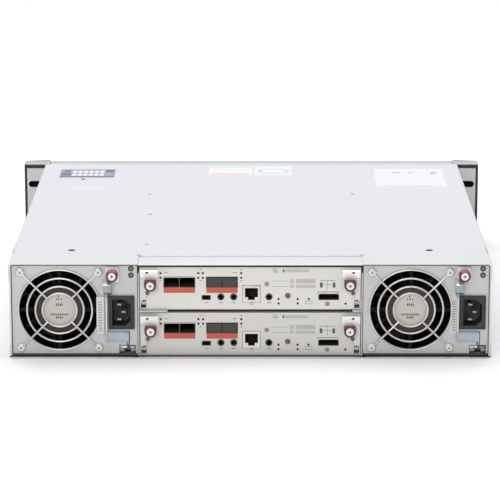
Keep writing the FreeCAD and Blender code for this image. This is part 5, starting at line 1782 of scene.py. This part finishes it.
    def _strips(self) -> None:
        """The coloured strips under the transceiver slots."""
        for number, (left, right) in enumerate(self.strips, 1):
            low = self.base + self.strip_z[0] * MM
            high = self.base + self.strip_z[1] * MM
            strip = Bench.block(f"{self.name}_strip_{number}", (left * MM, right * MM),
                                (self.face - 0.5 * MM, self.face), (low, high))
            dress(Bench.soften(strip, 0.15 * MM), self.body, Finishes.strip)

    def _lamps(self) -> None:
        """The rows of tiny lamp holes, and the rivets."""
        hole = Bench.dish("hole", (0, 0, 0), self.lamp_hole_radius, self.hole_rim,
                          self.hole_floor, corners=20)
        places = [self.at(x, z) for x, z in self.lamp_holes]
        dress(Bench.scatter(f"{self.name}_lamp_holes", hole, places), self.body, Finishes.dark)
        rivet = PanScrew(2.1 * MM, 0.7 * MM, Finishes.dull).model(f"{self.name}_rivet_master")
        spots = [self.at(x, z) for x, z in self.rivets]
        dress(Bench.scatter(f"{self.name}_panel_rivets", rivet, spots), self.body, Finishes.dull)

    def _marks(self) -> None:
        """The faint label and the printed legends, as plain bars."""
        ink = Print()
        base = self.base

        def bars(spans: Sequence[Bar]) -> list[Bar]:
            """Bars in millimetres from the panel's middle and base, in the frame's metres."""
            return [((x[0] * MM, x[1] * MM), (base + z[0] * MM, base + z[1] * MM))
                    for x, z in spans]

        faint = [((20.7, 25.5), (35.0, 35.7)), ((20.7, 25.5), (36.4, 37.1)),
                 ((20.7, 24.6), (37.9, 38.5)), ((20.0, 34.5), (26.5, 26.9)),
                 ((20.0, 34.5), (21.4, 21.8)), ((61.5, 80.9), (16.2, 16.5)),
                 ((61.5, 61.9), (14.7, 16.5)), ((80.5, 80.9), (14.7, 16.5))]
        rows = ((31.4, 0.4, (35.0, 37.9), 25), (36.6, 0.4, (24.6, 28.7), 4),
                (42.1, 0.45, (24.6, 28.7), 20), (36.6, 0.4, (20.2, 23.5), 4),
                (42.1, 0.4, (20.2, 23.5), 20))
        for start, width, height, count in rows:
            faint += [((start + 0.9 * i, start + 0.9 * i + width), height) for i in range(count)]
        dress(ink.on_rear(f"{self.name}_label_marks", self.face, bars(faint)), self.body,
              Finishes.faint_ink)
        legend = [((x - 0.9, x + 0.9), (37.4, 37.9)) for x in (-45.5, -8.3)]
        legend += [((x - 0.9, x + 0.9), (26.6, 27.2)) for x in (-82.2, -45.5, -8.3)]
        legend += [((-79.0, -75.5), (34.4, 34.9)), ((-16.0, -12.5), (34.4, 34.9))]
        legend += [((x - 1.9, x + 1.9), (6.0, 6.5)) for x in (-40.2, -27.0, -15.2, 17.2)]
        legend += [((-0.9, 3.1), (6.0, 6.8)), ((-0.1, 2.3), (4.6, 5.2)), ((29.7, 31.0), (35.0, 37.9)),
                   ((63.9, 78.1), (27.2, 27.6)), ((70.8, 71.1), (18.8, 27.4)),
                   ((67.0, 75.0), (23.2, 23.5)), ((63.9, 66.4), (20.6, 25.4)),
                   ((75.6, 78.1), (20.6, 25.4)),
                   ((50.5, 57.0), (5.0, 5.3)), ((50.5, 50.8), (5.0, 8.0)),
                   ((56.7, 57.0), (5.0, 8.0)), ((50.5, 57.0), (7.7, 8.0))]
        dress(ink.on_rear(f"{self.name}_legends", self.face, bars(legend)), self.body,
              Finishes.ink)


# ---------------------------------------------------------------------------------------------------
# Studio
# ---------------------------------------------------------------------------------------------------


@dataclass
class Studio:
    """The pale floor, the soft light and the camera."""

    lens: float = 194.68
    sensor: float = 36.0
    aim: Point = (-0.00018, -0.225, 0.10176)
    distance: float = 2.4673
    elevation: float = 13.567
    azimuth: float = 0.163
    roll: float = -0.038
    floor_size: float = 24.0
    floor_tone: float = 0.96
    room_light: float = 0.34

    def build(self) -> None:
        """Makes floor, lights and camera."""
        self._floor()
        self._lights()
        self._camera()

    def _floor(self) -> None:
        """The floor, on which the shelf stands."""
        Bench.clear()
        bpy.ops.mesh.primitive_plane_add(size=self.floor_size, location=(0, 0, 0))
        floor = Bench.settle("studio_floor")
        finish = PaperFinish("floor_paint", None, (self.floor_tone,) * 3, 0.7)
        floor.data.materials.append(finish.material())
        log.info("%s is laid", floor.name)

    def _lights(self) -> None:
        """A large softbox overhead, a smaller one facing the rear panel, and an evenly lit room."""
        world = bpy.data.worlds.new("studio_room")
        world.use_nodes = True
        background = world.node_tree.nodes["Background"]
        background.inputs["Color"].default_value = (1.0, 1.0, 1.0, 1.0)
        background.inputs["Strength"].default_value = self.room_light
        bpy.context.scene.world = world
        self._softbox("overhead_softbox", (0.0, 1.0, 2.4), (0.0, 0.8, 0.0), 3.4, 78.0)
        self._softbox("rear_softbox", (-0.6, -3.4, 1.9), (0.0, -0.2, 0.05), 1.8, 60.0)

    def _softbox(self, name: str, place: Point, aim: Point, size: float, power: float) -> None:
        """One square area light.

        Args:
            name: The light's name.
            place: Where it stands.
            aim: What it points at.
            size: The length of its side.
            power: Its power in watts.
        """
        light = bpy.data.lights.new(name, "AREA")
        light.shape = "SQUARE"
        light.size = size
        light.energy = power
        lamp = bpy.data.objects.new(name, light)
        lamp.location = place
        lamp.rotation_euler = (Vector(aim) - Vector(place)).to_track_quat("-Z", "Y").to_euler()
        bpy.context.scene.collection.objects.link(lamp)

    def _camera(self) -> None:
        """The camera, level but for a trace of roll."""
        rise, turn = math.radians(self.elevation), math.radians(self.azimuth)
        away = Vector((math.sin(turn) * math.cos(rise), -math.cos(turn) * math.cos(rise),
                       math.sin(rise)))
        camera = bpy.data.cameras.new("camera")
        camera.lens = self.lens
        camera.sensor_width = self.sensor
        camera.clip_end = 100.0
        seat = bpy.data.objects.new("camera", camera)
        seat.location = Vector(self.aim) + away * self.distance
        level = (-away).to_track_quat("-Z", "Y").to_matrix()
        seat.rotation_euler = (level @ Matrix.Rotation(math.radians(self.roll), 3, "Z")).to_euler()
        bpy.context.scene.collection.objects.link(seat)
        bpy.context.scene.camera = seat


def main() -> None:
    """Builds the studio and every sub-assembly in order."""
    logging.basicConfig(level=logging.INFO, format="%(message)s")
    bpy.context.scene.view_settings.view_transform = "Standard"
    Studio().build()
    Enclosure().build()
    for side in Side:
        PowerSupply(side).build()
    for level in Level:
        Controller(level).build()


if __name__ == "__main__":
    main()
